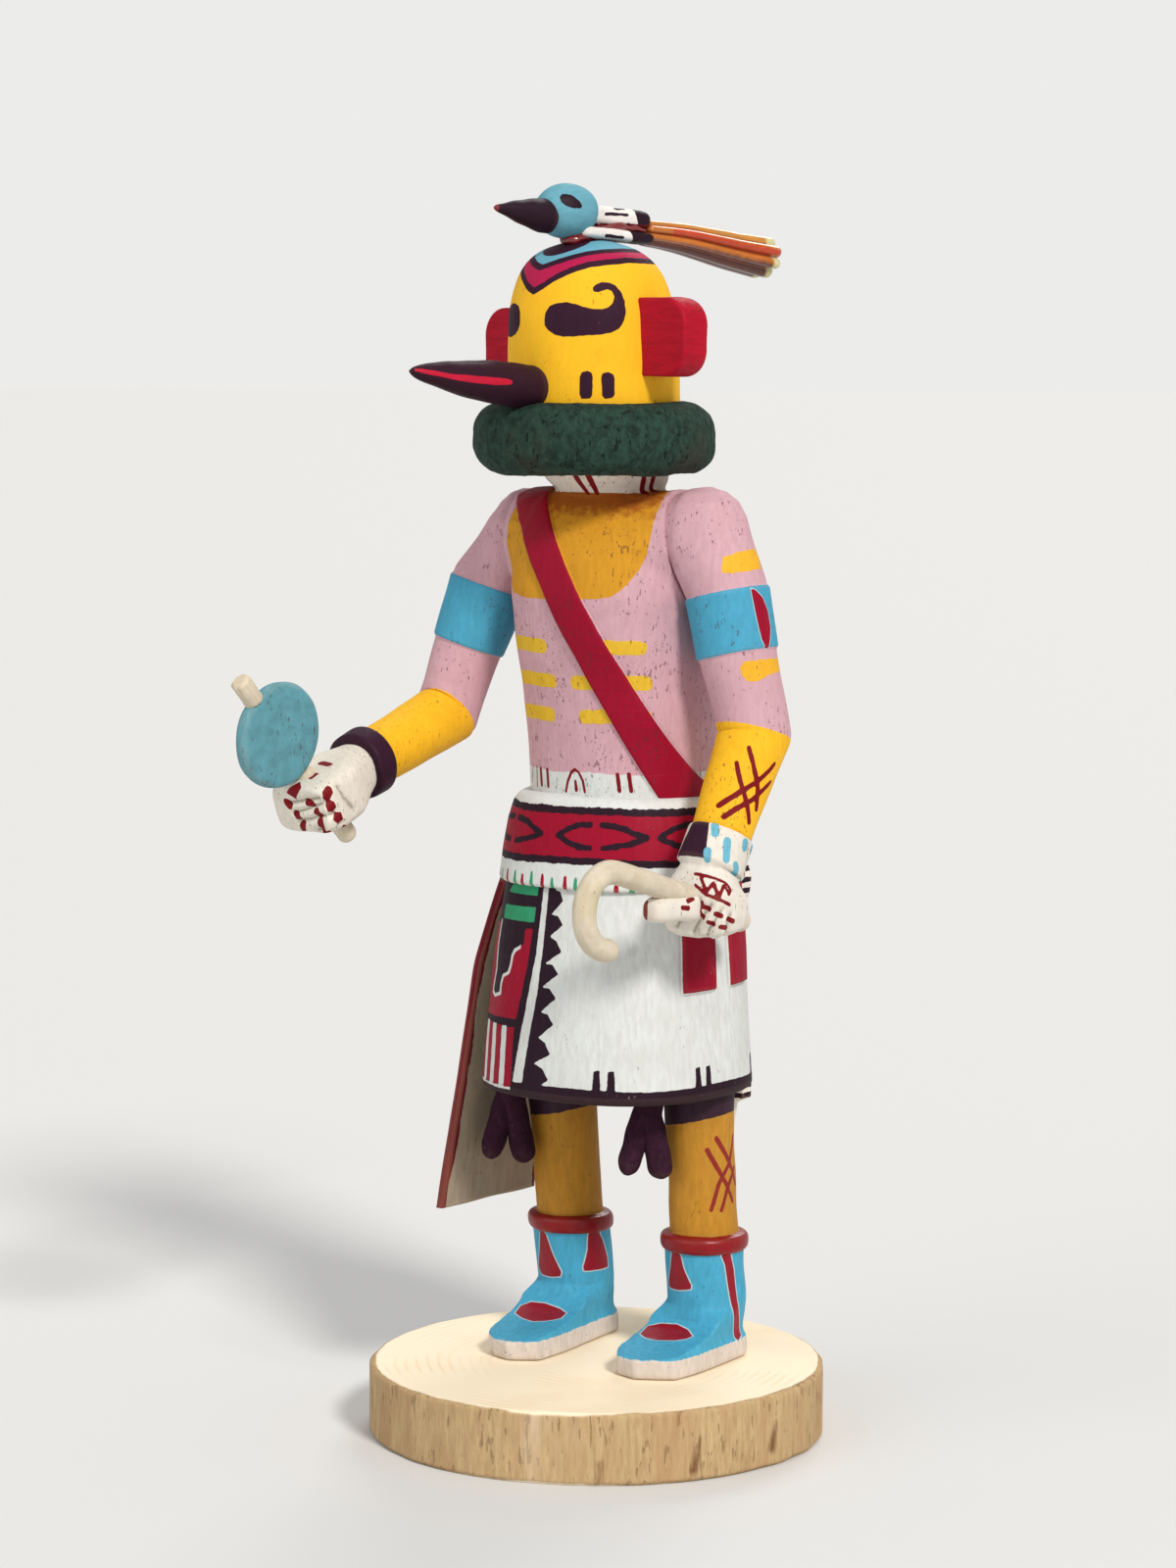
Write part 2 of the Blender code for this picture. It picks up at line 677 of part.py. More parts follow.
def arm_path_left():
    """Centre line of the left arm with half widths: across, front to back, power."""
    r = UPPER_ARM_RADIUS
    e = ELBOW_RADIUS
    w = WRIST_RADIUS
    band = ARM_BAND_RAISE
    return [
        ((24.2, 5.2, 205.8), 2.2, 2.4, 2.0),
        ((24.4, 5.2, 205.0), 4.8, 5.2, 2.0),
        ((24.8, 5.2, 202.6), 7.2, 7.6, 2.0),
        ((25.6, 5.3, 198.8), r - 0.2, r, 2.0),
        ((28.0, 5.5, 191.0), r, r, 2.0),
        ((30.4, 5.7, 184.9), r - 0.1, r - 0.1, 2.0),
        ((30.5, 5.7, 184.5), r + band, r + band, 2.0),
        ((33.3, 5.8, 172.0), r + band - 0.3, r + band - 0.3, 2.0),
        ((33.4, 5.8, 171.6), r - 0.4, r - 0.4, 2.0),
        ((35.6, 7.0, 161.0), e, e, 2.0),
        ((36.6, 7.4, 154.6), e, e, 2.0),
        ((36.3, 1.4, 144.0), e - 0.7, e - 0.7, 2.0),
        ((36.1, -3.8, 134.4), w + 0.2, w + 0.2, 2.0),
        ((36.1, -4.0, 134.1), w + 0.9, w + 0.9, 2.0),
        ((35.9, -7.6, 127.5), w + 0.9, w + 0.9, 2.1),
        ((35.9, -7.8, 127.2), w - 0.5, w - 0.3, 2.2),
        ((35.9, -8.7, 124.9), w - 0.2, w + 0.6, 2.8),
        ((35.9, -9.2, 121.6), w + 0.2, w + 2.0, 3.2),
        ((35.9, -9.2, 117.9), w, w + 2.2, 3.2),
        ((35.9, -8.8, 115.0), w - 0.9, w + 1.0, 3.0),
        ((35.9, -8.6, 114.0), w - 2.6, w - 1.6, 2.6),
    ]


def arm_path_right():
    r = UPPER_ARM_RADIUS
    e = ELBOW_RADIUS - 0.6
    w = WRIST_RADIUS
    band = ARM_BAND_RAISE
    return [
        ((-22.6, 5.6, 203.6), 1.4, 2.0, 2.0),
        ((-22.8, 5.6, 202.8), 3.4, 4.6, 2.0),
        ((-23.0, 5.5, 200.6), 5.6, 7.0, 2.0),
        ((-23.8, 4.8, 196.8), r - 1.2, r - 0.4, 2.0),
        ((-26.8, 2.9, 191.0), r - 0.8, r - 0.1, 2.0),
        ((-30.9, 0.9, 184.7), r - 0.2, r - 0.2, 2.0),
        ((-31.0, 0.8, 184.3), r + band - 0.2, r + band - 0.2, 2.0),
        ((-34.4, -2.1, 171.4), r + band - 0.7, r + band - 0.7, 2.0),
        ((-34.5, -2.2, 171.0), e + 0.4, e + 0.4, 2.0),
        ((-36.6, -4.4, 161.8), e, e, 2.0),
        ((-37.4, -6.2, 156.4), e, e, 2.0),
        ((-36.9, -21.0, 151.6), e - 0.5, e - 0.5, 2.0),
        ((-36.4, -34.0, 147.9), w + 0.1, w + 0.1, 2.0),
        ((-36.4, -34.3, 147.8), w + 0.9, w + 0.9, 2.0),
        ((-36.3, -37.6, 146.8), w + 0.9, w + 0.9, 2.0),
        ((-36.3, -37.9, 146.7), w - 0.6, w - 0.5, 2.2),
        ((-36.2, -41.5, 145.4), w - 0.2, w + 0.6, 2.8),
        ((-36.1, -46.5, 143.0), w + 0.1, w + 2.2, 3.2),
        ((-36.0, -51.5, 140.8), w, w + 2.4, 3.2),
        ((-36.0, -54.9, 139.5), w - 0.9, w + 1.2, 3.0),
        ((-36.0, -56.2, 139.0), w - 2.6, w - 1.4, 2.6),
    ]


def arm_rings(rows, sign):
    path = [row[0] for row in rows]
    halves = [row[1:] for row in rows]
    rings = tube_rings(path, halves, sides=14, up=(sign, 0.0, 0.0))
    held = []
    for ring in rings:
        row = []
        for x, y, z in ring:
            if z > 180.0 and sign * x < ARM_PLANE_X:
                x = sign * ARM_PLANE_X
            row.append((x, y, z))
        held.append(row)
    return held


def crook_path():
    """The bent rod lies in one upright plane beside the left hip."""
    x = 35.9
    points = [(x, 4.4, 114.8), (x, -18.8, 123.4)]
    bend_y = -42.4
    bend_z = 122.0
    bend_radius = 8.2
    steps = 9
    for i in range(steps + 1):
        angle = math.radians(69.3 + 208.0 * i / steps)
        y = bend_y + bend_radius * math.cos(angle)
        z = bend_z + bend_radius * math.sin(angle)
        points.append((x, y, z))
    return points


def rod_mesh(name, points, radius, collection, material=None):
    curve = bpy.data.curves.new(name + "_line", "CURVE")
    curve.dimensions = "3D"
    curve.bevel_depth = radius * MM
    curve.bevel_resolution = 2
    curve.use_fill_caps = True
    spline = curve.splines.new("POLY")
    spline.points.add(len(points) - 1)
    for slot, point in zip(spline.points, points):
        slot.co = (*(Vector(point) * MM), 1.0)
    holder = bpy.data.objects.new(name + "_line", curve)
    collection.objects.link(holder)
    bpy.context.view_layer.update()
    graph = bpy.context.evaluated_depsgraph_get()
    mesh = bpy.data.meshes.new_from_object(holder.evaluated_get(graph))
    mesh.name = name
    bpy.data.objects.remove(holder, do_unlink=True)
    work = bmesh.new()
    work.from_mesh(mesh)
    bmesh.ops.remove_doubles(work, verts=work.verts, dist=0.00002)
    bmesh.ops.recalc_face_normals(work, faces=work.faces)
    work.to_mesh(mesh)
    work.free()
    mesh.materials.clear()
    return mesh_object(name, mesh, collection, material)


def build_arms(collection, cutters, materials):
    left = loft("arm_left", arm_rings(arm_path_left(), 1.0), collection, materials["pink"])
    right = loft("arm_right", arm_rings(arm_path_right(), -1.0), collection, materials["pink"])
    thumb = tube_rings([(35.9, -11.0, 119.6), (35.6, -19.0, 120.4), (35.2, -25.4, 120.4),
                        (35.0, -27.4, 120.3)],
                       [(3.6, 3.2), (3.3, 2.9), (2.9, 2.6), (1.6, 1.5)], 2.8, 12)
    add_boolean(left, loft("thumb_left_union", thumb, cutters), "UNION")
    points = crook_path()
    hole = rod_mesh("crook_hole", points, CROOK_RADIUS + GAP + 0.05, cutters)
    add_boolean(left, hole, "DIFFERENCE")
    rod_mesh("crook", points, CROOK_RADIUS, collection, materials["cream"])
    return left, right


def rattle_line():
    """Foot and head of the rattle's stick, and its direction."""
    foot = Vector((-36.0, -40.4, 131.8))
    head = Vector((-36.0, -71.8, 164.8))
    return foot, head, (head - foot).normalized()


def build_rattle(right_arm, collection, cutters, materials):
    foot, head, along = rattle_line()
    disc_centre = head - along * (GOURD_RADIUS + 1.6)
    turn = math.radians(-9.0)
    normal = Vector((math.cos(turn), math.sin(turn), 0.0))
    normal = (normal - along * normal.dot(along)).normalized()
    mesh = bpy.data.meshes.new("rattle_gourd")
    work = bmesh.new()
    bmesh.ops.create_cone(work, cap_ends=True, segments=32, radius1=GOURD_RADIUS * MM,
                          radius2=GOURD_RADIUS * MM, depth=GOURD_THICK * MM)
    turn_matrix = normal.to_track_quat("Z", "Y").to_matrix().to_4x4()
    work.transform(Matrix.Translation(disc_centre * MM) @ turn_matrix)
    work.to_mesh(mesh)
    work.free()
    disc = mesh_object("rattle_gourd", mesh, collection, materials["turquoise"])
    bevel = disc.modifiers.new("rounded_rim", "BEVEL")
    bevel.width = 0.9 * MM
    bevel.segments = 1
    bevel.limit_method = "ANGLE"
    bevel.angle_limit = math.radians(50.0)
    rim = disc_centre + along * (GOURD_RADIUS + GAP + 0.2)
    rod_mesh("rattle_peg", [rim, rim + along * 5.2], HANDLE_RADIUS, collection,
             materials["cream"])
    below = disc_centre - along * (GOURD_RADIUS + GAP + 0.2)
    rod_mesh("rattle_handle", [foot, below], HANDLE_RADIUS, collection, materials["cream"])
    hole = rod_mesh("handle_hole", [foot - along * 3.0, below + along * 3.0],
                    HANDLE_RADIUS + GAP + 0.05, cutters)
    add_boolean(right_arm, hole, "DIFFERENCE")


def build_board(collection, material):
    """The sash's hanging end: a thin board that flares away from the kilt."""
    rings = []
    half = BOARD_THICK / 2.0
    hip = -HEM_HALF[0]
    rows = [
        (SASH_BOTTOM_Z - 0.6, hip + 2.0, 0.4, 16.0),
        (SASH_BOTTOM_Z - 10.0, hip + 0.3, -2.6, 17.6),
        (SASH_BOTTOM_Z - 20.0, hip - 1.4, -5.0, 18.8),
        (SASH_BOTTOM_Z - 48.0, hip - 4.4, -8.0, 20.6),
        (SASH_BOTTOM_Z - 75.0, hip - 7.4, -11.4, 21.6),
    ]
    edge = 0.5
    for z, x, front, back in reversed(rows):
        ring = [
            (x - half + edge, front, z),
            (x + half - edge, front, z),
            (x + half, front + edge, z),
            (x + half, back - edge, z),
            (x + half - edge, back, z),
            (x - half + edge, back, z),
            (x - half, back - edge, z),
            (x - half, front + edge, z),
        ]
        rings.append(ring)
    return loft("sash_end", rings, collection, material)


def build_pelt(collection, cutters, material):
    """A flat pelt at the back: fore paws near the belt, hind paws at the hem, then the tail."""
    half = [
        (SASH_BOTTOM_Z + 6.0, 5.0),
        (SASH_BOTTOM_Z + 4.0, 8.5),
        (SASH_BOTTOM_Z - 1.0, 10.6),
        (SASH_BOTTOM_Z - 5.0, 10.2),
        (SASH_BOTTOM_Z - 9.0, 7.6),
        (SASH_BOTTOM_Z - 28.0, 7.2),
        (HEM_Z + 4.0, 8.2),
        (HEM_Z - 1.0, 11.0),
        (HEM_Z - 5.6, 11.0),
        (HEM_Z - 7.0, 7.0),
        (HEM_Z - 14.0, 5.6),
        (HEM_Z - 19.0, 3.6),
        (HEM_Z - 20.8, 1.4),
    ]
    centre_x = 5.0
    outline = [(centre_x + wide, z) for z, wide in half]
    outline += [(centre_x - wide, z) for z, wide in reversed(half)]
    inside = HEM_HALF[1]
    outside = inside + 6.6 + PELT_THICK
    rings = []
    for y, shrink in ((inside, 1.0), (outside - 0.8, 1.0), (outside, 0.93)):
        rings.append([(centre_x + (x - centre_x) * shrink, y, z) for x, z in outline])
    item = loft("pelt", rings, collection, material)
    room = loft("kilt_room", trunk_rings(GAP, high=BELT_TOP_Z), cutters)
    add_boolean(item, room, "DIFFERENCE")
    below = bpy.data.meshes.new("under_hem_room")
    work = bmesh.new()
    bmesh.ops.create_cube(work, size=1.0)
    bmesh.ops.scale(work, vec=Vector((80.0, 24.0, 40.0)) * MM, verts=work.verts)
    shift = Vector((0.0, 20.4, HEM_Z + 0.2 - 20.0)) * MM
    bmesh.ops.translate(work, vec=shift, verts=work.verts)
    work.to_mesh(below)
    work.free()
    add_boolean(item, mesh_object("under_hem_room", below, cutters), "DIFFERENCE")
    return item


def build_tie(name, leg_centre, length, collection, cutters, material):
    """Two tapering lobes that hang beside the leg and join under the hem."""
    middle = Vector((leg_centre[0] - 5.0, leg_centre[1] - 12.2, HEM_Z - GAP - 0.1))
    across = Vector((0.788, 0.616, 0.0))
    main = []
    for t, swing, r in ((0.0, 0.6, 3.2), (0.25, 0.4, 3.0), (0.55, 2.0, 2.5), (0.9, 3.2, 2.5),
                        (1.0, 3.4, 1.2)):
        place = middle + across * swing
        main.append(((place.x, place.y, middle.z - length * t), r))
    rings = tube_rings([row[0] for row in main], [(r, r) for _, r in main], 2.2, 12,
                       up=(1.0, 0.0, 0.0))
    item = loft(name, rings, collection, material)
    other = []
    for t, swing, r in ((0.15, -0.2, 2.4), (0.4, -1.6, 2.5), (0.85, -3.8, 2.2), (0.96, -4.2, 1.1)):
        place = middle + across * swing
        other.append(((place.x, place.y, middle.z - (length - 0.4) * t), r))
    rings = tube_rings([row[0] for row in other], [(r, r) for _, r in other], 2.2, 12,
                       up=(1.0, 0.0, 0.0))
    add_boolean(item, loft(name + "_lobe", rings, cutters), "UNION")
    return item


def main():
    clear_scene()
    doll = make_collection("kachina_doll")
    cutters = make_collection("cutters")
    materials = {
        "raw_wood": make_material("raw_wood", (0.72, 0.56, 0.38), 0.8),
        "paint": make_material("painted_wood", (0.80, 0.62, 0.60), 0.6),
        "green": make_material("dark_green_paint", (0.03, 0.10, 0.07), 0.85),
        "red": make_material("red_paint", (0.55, 0.03, 0.06), 0.55),
        "dark": make_material("aubergine_paint", (0.045, 0.015, 0.03), 0.6),
        "turquoise": make_material("turquoise_paint", (0.13, 0.45, 0.62), 0.6),
        "black": make_material("black_paint", (0.02, 0.012, 0.018), 0.5),
        "white": make_material("white_paint", (0.82, 0.80, 0.76), 0.6),
        "amber": make_material("varnished_feathers", (0.70, 0.28, 0.06), 0.15),
        "pink": make_material("pink_paint", (0.78, 0.48, 0.52), 0.6),
        "cream": make_material("cream_paint", (0.74, 0.66, 0.52), 0.6),
    }
    build_base(doll, materials["raw_wood"])
    build_body(doll, cutters, materials["paint"])
    beak = beak_rings_at(0.0, False)
    build_ruff(doll, cutters, materials["green"], beak_rings_at(GAP, True))
    loft("mask_beak", beak, doll, materials["dark"])
    build_ear("ear_left", 1.0, 0.0, doll, materials["red"])
    build_ear("ear_right", -1.0, 1.7, doll, materials["red"])
    build_bird(doll, cutters, materials)
    left, right = build_arms(doll, cutters, materials)
    build_rattle(right, doll, cutters, materials)
    build_board(doll, materials["white"])
    build_pelt(doll, cutters, materials["white"])
    build_tie("knee_tie_right", (-19.5, 11.8), 19.0, doll, cutters, materials["dark"])
    build_tie("knee_tie_left", (17.9, 12.9), 18.2, doll, cutters, materials["dark"])


main()
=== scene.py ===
# %% [markdown]
# # A carved and painted kachina doll on a slice of raw wood
# The doll is about a hand's length tall. Its maker carved the trunk, legs and head from one
# piece of soft root wood, glued on the arms, ears, beak and bird, and painted it all with
# water paint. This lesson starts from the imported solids, which fix every size and place,
# and gives them a smooth skin, carving marks and paint.

# %% Load the frame
import math
from functools import partial

import bmesh
import bpy
import numpy as np
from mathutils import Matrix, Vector
from mathutils.bvhtree import BVHTree


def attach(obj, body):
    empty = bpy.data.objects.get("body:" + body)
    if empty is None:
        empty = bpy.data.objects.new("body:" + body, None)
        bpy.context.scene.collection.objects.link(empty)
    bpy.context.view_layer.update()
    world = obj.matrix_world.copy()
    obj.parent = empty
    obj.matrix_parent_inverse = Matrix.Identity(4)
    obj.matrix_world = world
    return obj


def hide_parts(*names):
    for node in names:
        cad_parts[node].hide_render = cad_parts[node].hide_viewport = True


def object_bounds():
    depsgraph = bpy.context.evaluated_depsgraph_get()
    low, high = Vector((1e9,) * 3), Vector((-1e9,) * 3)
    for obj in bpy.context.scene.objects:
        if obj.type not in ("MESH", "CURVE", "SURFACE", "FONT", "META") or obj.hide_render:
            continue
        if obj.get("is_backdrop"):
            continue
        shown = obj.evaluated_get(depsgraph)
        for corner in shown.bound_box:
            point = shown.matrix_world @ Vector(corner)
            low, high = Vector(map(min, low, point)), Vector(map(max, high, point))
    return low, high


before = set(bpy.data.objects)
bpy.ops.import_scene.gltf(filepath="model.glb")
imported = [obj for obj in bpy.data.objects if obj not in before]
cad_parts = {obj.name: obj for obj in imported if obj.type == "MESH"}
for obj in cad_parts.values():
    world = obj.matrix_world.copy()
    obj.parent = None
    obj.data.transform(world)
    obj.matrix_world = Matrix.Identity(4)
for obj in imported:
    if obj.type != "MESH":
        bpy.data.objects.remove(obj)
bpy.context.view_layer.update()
MM = 0.001
print("solids loaded:", len(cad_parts))

# %% [markdown]
# ## Camera
# The photograph looks slightly down on the doll from its front left. The viewing place was
# worked out from the oval of the round base, and the camera stays there.

# %% Camera
def new_object(name, data):
    made = bpy.data.objects.new(name, data)
    bpy.context.scene.collection.objects.link(made)
    return made


eye = Vector((0.54178, -0.69345, 0.23284))
ahead = Vector((-0.61425, 0.78246, -0.10223))
camera_data = bpy.data.cameras.new("photo_view")
camera_data.lens = 93.57
camera_data.sensor_width = 36.0
camera = new_object("photo_view", camera_data)
camera.location = eye
camera.rotation_mode = "QUATERNION"
camera.rotation_quaternion = ahead.to_track_quat("-Z", "Y")
bpy.context.scene.camera = camera
bpy.context.scene.view_settings.view_transform = "Standard"
print("camera stands", round((eye - Vector((0, 0, 0.13))).length, 3), "m away")

# %% [markdown]
# ## Helpers for skins
# Every smooth piece here is a stack of rings. A short table gives the section at a few
# heights; `dense_line` walks that table in small equal steps and rounds its corners a
# little, as sandpaper does. `skin` joins the rings and closes the two ends. The close mesh
# is needed because the painted marks are stored on its points.


# %% Rings and skins
def softened(rows, spread):
    """Even rows, blurred along their length by so many rows; the two ends stay put."""
    reach = int(3.0 * spread) + 1
    weights = np.exp(-0.5 * (np.arange(-reach, reach + 1) / spread) ** 2)
    weights /= weights.sum()
    before = 2.0 * rows[0] - rows[reach:0:-1]
    after = 2.0 * rows[-1] - rows[-2:-reach - 2:-1]
    long = np.concatenate([before, rows, after])
    return np.stack([np.convolve(column, weights, "valid") for column in long.T], 1)


def dense_line(rows, step, soften=0.0, measure=3):
    """Walk a table in equal steps; soften is how far, in mm, corners are rounded."""
    rows = np.asarray(rows, float)
    gaps = np.linalg.norm(np.diff(rows[:, :measure], axis=0), axis=1)
    along = np.concatenate([[0.0], np.cumsum(gaps)])
    count = max(int(along[-1] / step), 2)
    places = np.linspace(0.0, along[-1], count + 1)
    fine = np.stack([np.interp(places, along, column) for column in rows.T], 1)
    return softened(fine, soften / step) if soften > 0.0 else fine


def skin(name, rows, loop=False):
    """Rows of points in mm, row by row along the piece, become a closed mesh in metres."""
    rows = np.asarray(rows, float)
    count, sides, _ = rows.shape
    points = rows.reshape(-1, 3)
    index = np.arange(count * sides).reshape(count, sides)
    after = np.roll(index, -1, axis=0) if loop else index[1:]
    first = index if loop else index[:-1]
    quads = np.stack([first, np.roll(first, -1, 1), np.roll(after, -1, 1), after], -1)
    faces = quads.reshape(-1, 4).tolist()
    if not loop:
        points = np.concatenate([points, [rows[0].mean(axis=0), rows[-1].mean(axis=0)]])
        for row, centre in ((index[0][::-1], len(points) - 2), (index[-1], len(points) - 1)):
            faces += [[int(a), int(b), centre] for a, b in zip(row, np.roll(row, -1))]
    mesh = bpy.data.meshes.new(name)
    mesh.from_pydata((points * MM).tolist(), [], faces)
    work = bmesh.new()
    work.from_mesh(mesh)
    bmesh.ops.recalc_face_normals(work, faces=work.faces)
    work.to_mesh(mesh)
    work.free()
    mesh.shade_smooth()
    return new_object(name, mesh)


def places_of(piece):
    """The piece's points, in mm, and the direction each one faces."""
    count = len(piece.data.vertices)
    points = np.empty(count * 3, np.float32)
    facing = np.empty(count * 3, np.float32)
    piece.data.vertices.foreach_get("co", points)
    piece.data.vertex_normals.foreach_get("vector", facing)
    return points.reshape(-1, 3).astype(float) / MM, facing.reshape(-1, 3).astype(float)


def move_out(piece, amount):
    """Push each point out along the way it faces, by an amount in mm."""
    points, facing = places_of(piece)
    points += facing * np.asarray(amount)[:, None]
    piece.data.vertices.foreach_set("co", (points * MM).astype(np.float32).ravel())
    piece.data.update()


def carve(piece, depth, size, seed):
    """Make a smooth skin uneven by hand; gives its points and directions from before."""
    points, facing = places_of(piece)
    move_out(piece, depth * ripple(points, size, seed))
    return points, facing


def round_angles(count):
    return np.linspace(0.0, 2.0 * np.pi, count, endpoint=False)


def oval(a, b, power, sides):
    """Points round an oval of two half widths; a power over 2 squares its corners."""
    c, s = np.cos(round_angles(sides)), np.sin(round_angles(sides))
    reach = (np.abs(c / a) ** power + np.abs(s / b) ** power) ** (-1.0 / power)
    return reach * c, reach * s


def oval_rows(table, sides):
    """Rings from rows of height, centre y, half widths and squareness, by true angle."""
    rows = []
    for z, middle_y, a, b, power in table:
        x, y = oval(a, b, power, sides)
        rows.append(np.stack([x, middle_y + y, np.full(sides, z)], 1))
    return np.array(rows)


def tube_rows(path, sides, up, ease=12.0):
    """Rings round a path; each row is a place, half widths across and over, squareness.

    The rings turn slowly through a bend, and each is stretched as a slanting saw cut
    through a round rod would be, so the bend itself stays as crisp as it was carved.
    """
    centre = path[:, :3]
    along = np.gradient(centre, axis=0)
    along /= np.linalg.norm(along, axis=1)[:, None]
    cut = softened(along, ease)
    cut /= np.linalg.norm(cut, axis=1)[:, None]
    side = np.cross(np.asarray(up, float), cut)
    side /= np.linalg.norm(side, axis=1)[:, None]
    over = np.cross(cut, side)
    rows = []
    for i in range(len(path)):
        x, y = oval(*path[i, 3:6], sides)
        ring = np.outer(x, side[i]) + np.outer(y, over[i])
        square_on = along[i] @ cut[i]
        lean = along[i] - cut[i] * square_on
        if np.linalg.norm(lean) > 0.01:
            lean /= np.linalg.norm(lean)
            ring += np.outer(ring @ lean, lean) * (1.0 / square_on - 1.0)
        rows.append(centre[i] + ring)
    return np.array(rows)


def ripple(points, size, seed):
    """A smooth, never repeating swell between about -1 and 1, for the hand of the knife."""
    dice = np.random.default_rng(seed)
    total = np.zeros(len(points))
    for _ in range(8):
        way = dice.normal(size=3)
        way *= 2.0 * np.pi / size * dice.uniform(0.6, 1.5) / np.linalg.norm(way)
        total += np.sin(points @ way + dice.uniform(0.0, 6.28))
    return total / 4.0


print("helpers ready")

# %% [markdown]
# ## Helpers for painted marks
# A brush line or a painted patch has a crisp edge that a blurred picture can't give. Each
# mark is written as a line or an outline in mm, and every point of the mesh learns how far
# it is from the mark's edge, below nought inside. The material turns that distance into
# paint, so the edge stays sharp at any size and can waver like a real brush stroke.


# %% Distances to marks
def line_gap(points, line, width):
    """Distance to a brush line, less half its width; width may taper from end to end."""
    line = np.asarray(line, float)
    best = np.full(len(points), 1000.0)
    count = len(line) - 1
    widths = np.interp(np.arange(count + 1), [0, count], np.broadcast_to(width, 2))
    for i in range(count):
        a = line[i]
        leg = line[i + 1] - a
        t = np.clip((points - a) @ leg / max(leg @ leg, 1e-9), 0.0, 1.0)
        gap = np.linalg.norm(points - a - t[:, None] * leg, axis=1)
        best = np.minimum(best, gap - 0.5 * (widths[i] + t * (widths[i + 1] - widths[i])))
    return best


def patch_gap(flat, outline):
    """Distance to a closed outline on a flat sheet, below nought inside it."""
    outline = np.asarray(outline, float)
    closed = np.concatenate([outline, outline[:1]])
    best = line_gap(flat, closed, 0.0)
    inside = np.zeros(len(flat), bool)
    for (x0, y0), (x1, y1) in zip(closed[:-1], closed[1:]):
        spans = (y0 > flat[:, 1]) != (y1 > flat[:, 1])
        cross = x0 + (flat[:, 1] - y0) * (x1 - x0) / (y1 - y0 if y1 != y0 else 1e-9)
        inside ^= spans & (flat[:, 0] < cross)
    return np.where(inside, -best, best)


def nearest(gaps):
    """The distance to whichever of several marks is nearest."""
    return np.minimum.reduce(list(gaps))


def step_up(gap, height, edge=0.5):
    """How far a mark stands proud: the full height inside it, with a narrow slope."""
    return height * np.clip(0.5 - gap / edge, 0.0, 1.0)


def patch_on(points, facing, outline):
    """Distance to an outline drawn on a piece, seen square on to the outline."""
    outline = np.asarray(outline, float)
    middle = outline.mean(axis=0)
    axes = np.linalg.svd(outline - middle)[2]
    reach = np.linalg.norm(outline - middle, axis=1).max() + 1.5
    away = np.linalg.norm(points - middle, axis=1)
    near = away < reach
    if near.any() and facing[near].mean(axis=0) @ axes[2] < 0.0:
        axes = axes * np.array([[1.0], [1.0], [-1.0]])
    gap = patch_gap((points - middle) @ axes[:2].T, (outline - middle) @ axes[:2].T)
    hidden = (~near) | (facing @ axes[2] < 0.05)
    return np.where(hidden, np.maximum(gap, 1.0), gap)


def settle(piece, line):
    """Lay a line on a piece's skin: short steps, each moved to the nearest place on it."""
    tree = BVHTree.FromObject(piece, bpy.context.evaluated_depsgraph_get())
    fine = dense_line(line, 0.7)
    return [tuple(tree.find_nearest(Vector(p) * MM)[0] / MM) for p in fine]


def lines_on(piece, points, lines, width):
    """Distance to the nearest of several brush lines laid on the piece."""
    return nearest(line_gap(points, settle(piece, line), width) for line in lines)


def even_out(piece, values, rounds):
    """Average the points' values with their neighbours' values, several times over."""
    count = len(values)
    edges = np.empty(len(piece.data.edges) * 2, np.int32)
    piece.data.edges.foreach_get("vertices", edges)
    a, b = edges.reshape(-1, 2).T
    share = np.bincount(a, minlength=count) + np.bincount(b, minlength=count)
    for _ in range(rounds):
        summed = np.stack([np.bincount(a, values[b, k], count)
                           + np.bincount(b, values[a, k], count) for k in range(3)], 1)
        values = 0.4 * values + 0.6 * summed / share[:, None]
    return values


def keep_marks(piece, **marks):
    """Store each named distance on the points, with how proud or hollow the skin is."""
    points, facing = places_of(piece)
    soft = even_out(piece, points, 8)
    if "proud" not in piece.data.attributes:
        marks["proud"] = ((points - soft) * facing).sum(axis=1)
    for name, values in marks.items():
        layer = piece.data.attributes.new(name, "FLOAT", "POINT")
        layer.data.foreach_set("value", np.asarray(values, np.float32))


print("mark helpers ready")

# %% [markdown]
# ## Helpers for materials
# `put` adds one node and fills or links its sockets, and the next three are short names for
# the sums that come up all the time. Colours are written as they look on a screen and are
# turned into the linear values that the shader wants.


# %% Node helpers
def colour(red, green, blue):
    out = []
    for part in (red, green, blue):
        part /= 255.0
        out.append(part / 12.92 if part <= 0.04045 else ((part + 0.055) / 1.055) ** 2.4)
    return (*out, 1.0)


def put(tree, kind, values=None, **settings):
    node = tree.nodes.new(kind)
    for name, value in settings.items():
        setattr(node, name, value)
    for name, value in (values or {}).items():
        socket = node.inputs[name]
        if isinstance(value, bpy.types.NodeSocket):
            tree.links.new(value, socket)
        else:
            socket.default_value = value
    return node


def mark_of(tree, name):
    """A distance that `keep_marks` stored on the points."""
    return put(tree, "ShaderNodeAttribute", attribute_name=name).outputs["Fac"]


def blend(tree, factor, first, second, way="MIX"):
    node = put(tree, "ShaderNodeMix", {0: factor, 6: first, 7: second}, data_type="RGBA",
               blend_type=way)
    return node.outputs[2]


def sums(tree, what, first, second=0.0, third=0.0):
    return put(tree, "ShaderNodeMath", {0: first, 1: second, 2: third}, operation=what).outputs[0]


def span(tree, value, low, high, out_low=0.0, out_high=1.0):
    node = put(tree, "ShaderNodeMapRange", {"Value": value, "From Min": low, "From Max": high,
                                            "To Min": out_low, "To Max": out_high})
    node.interpolation_type = "SMOOTHSTEP"
    return node.outputs[0]


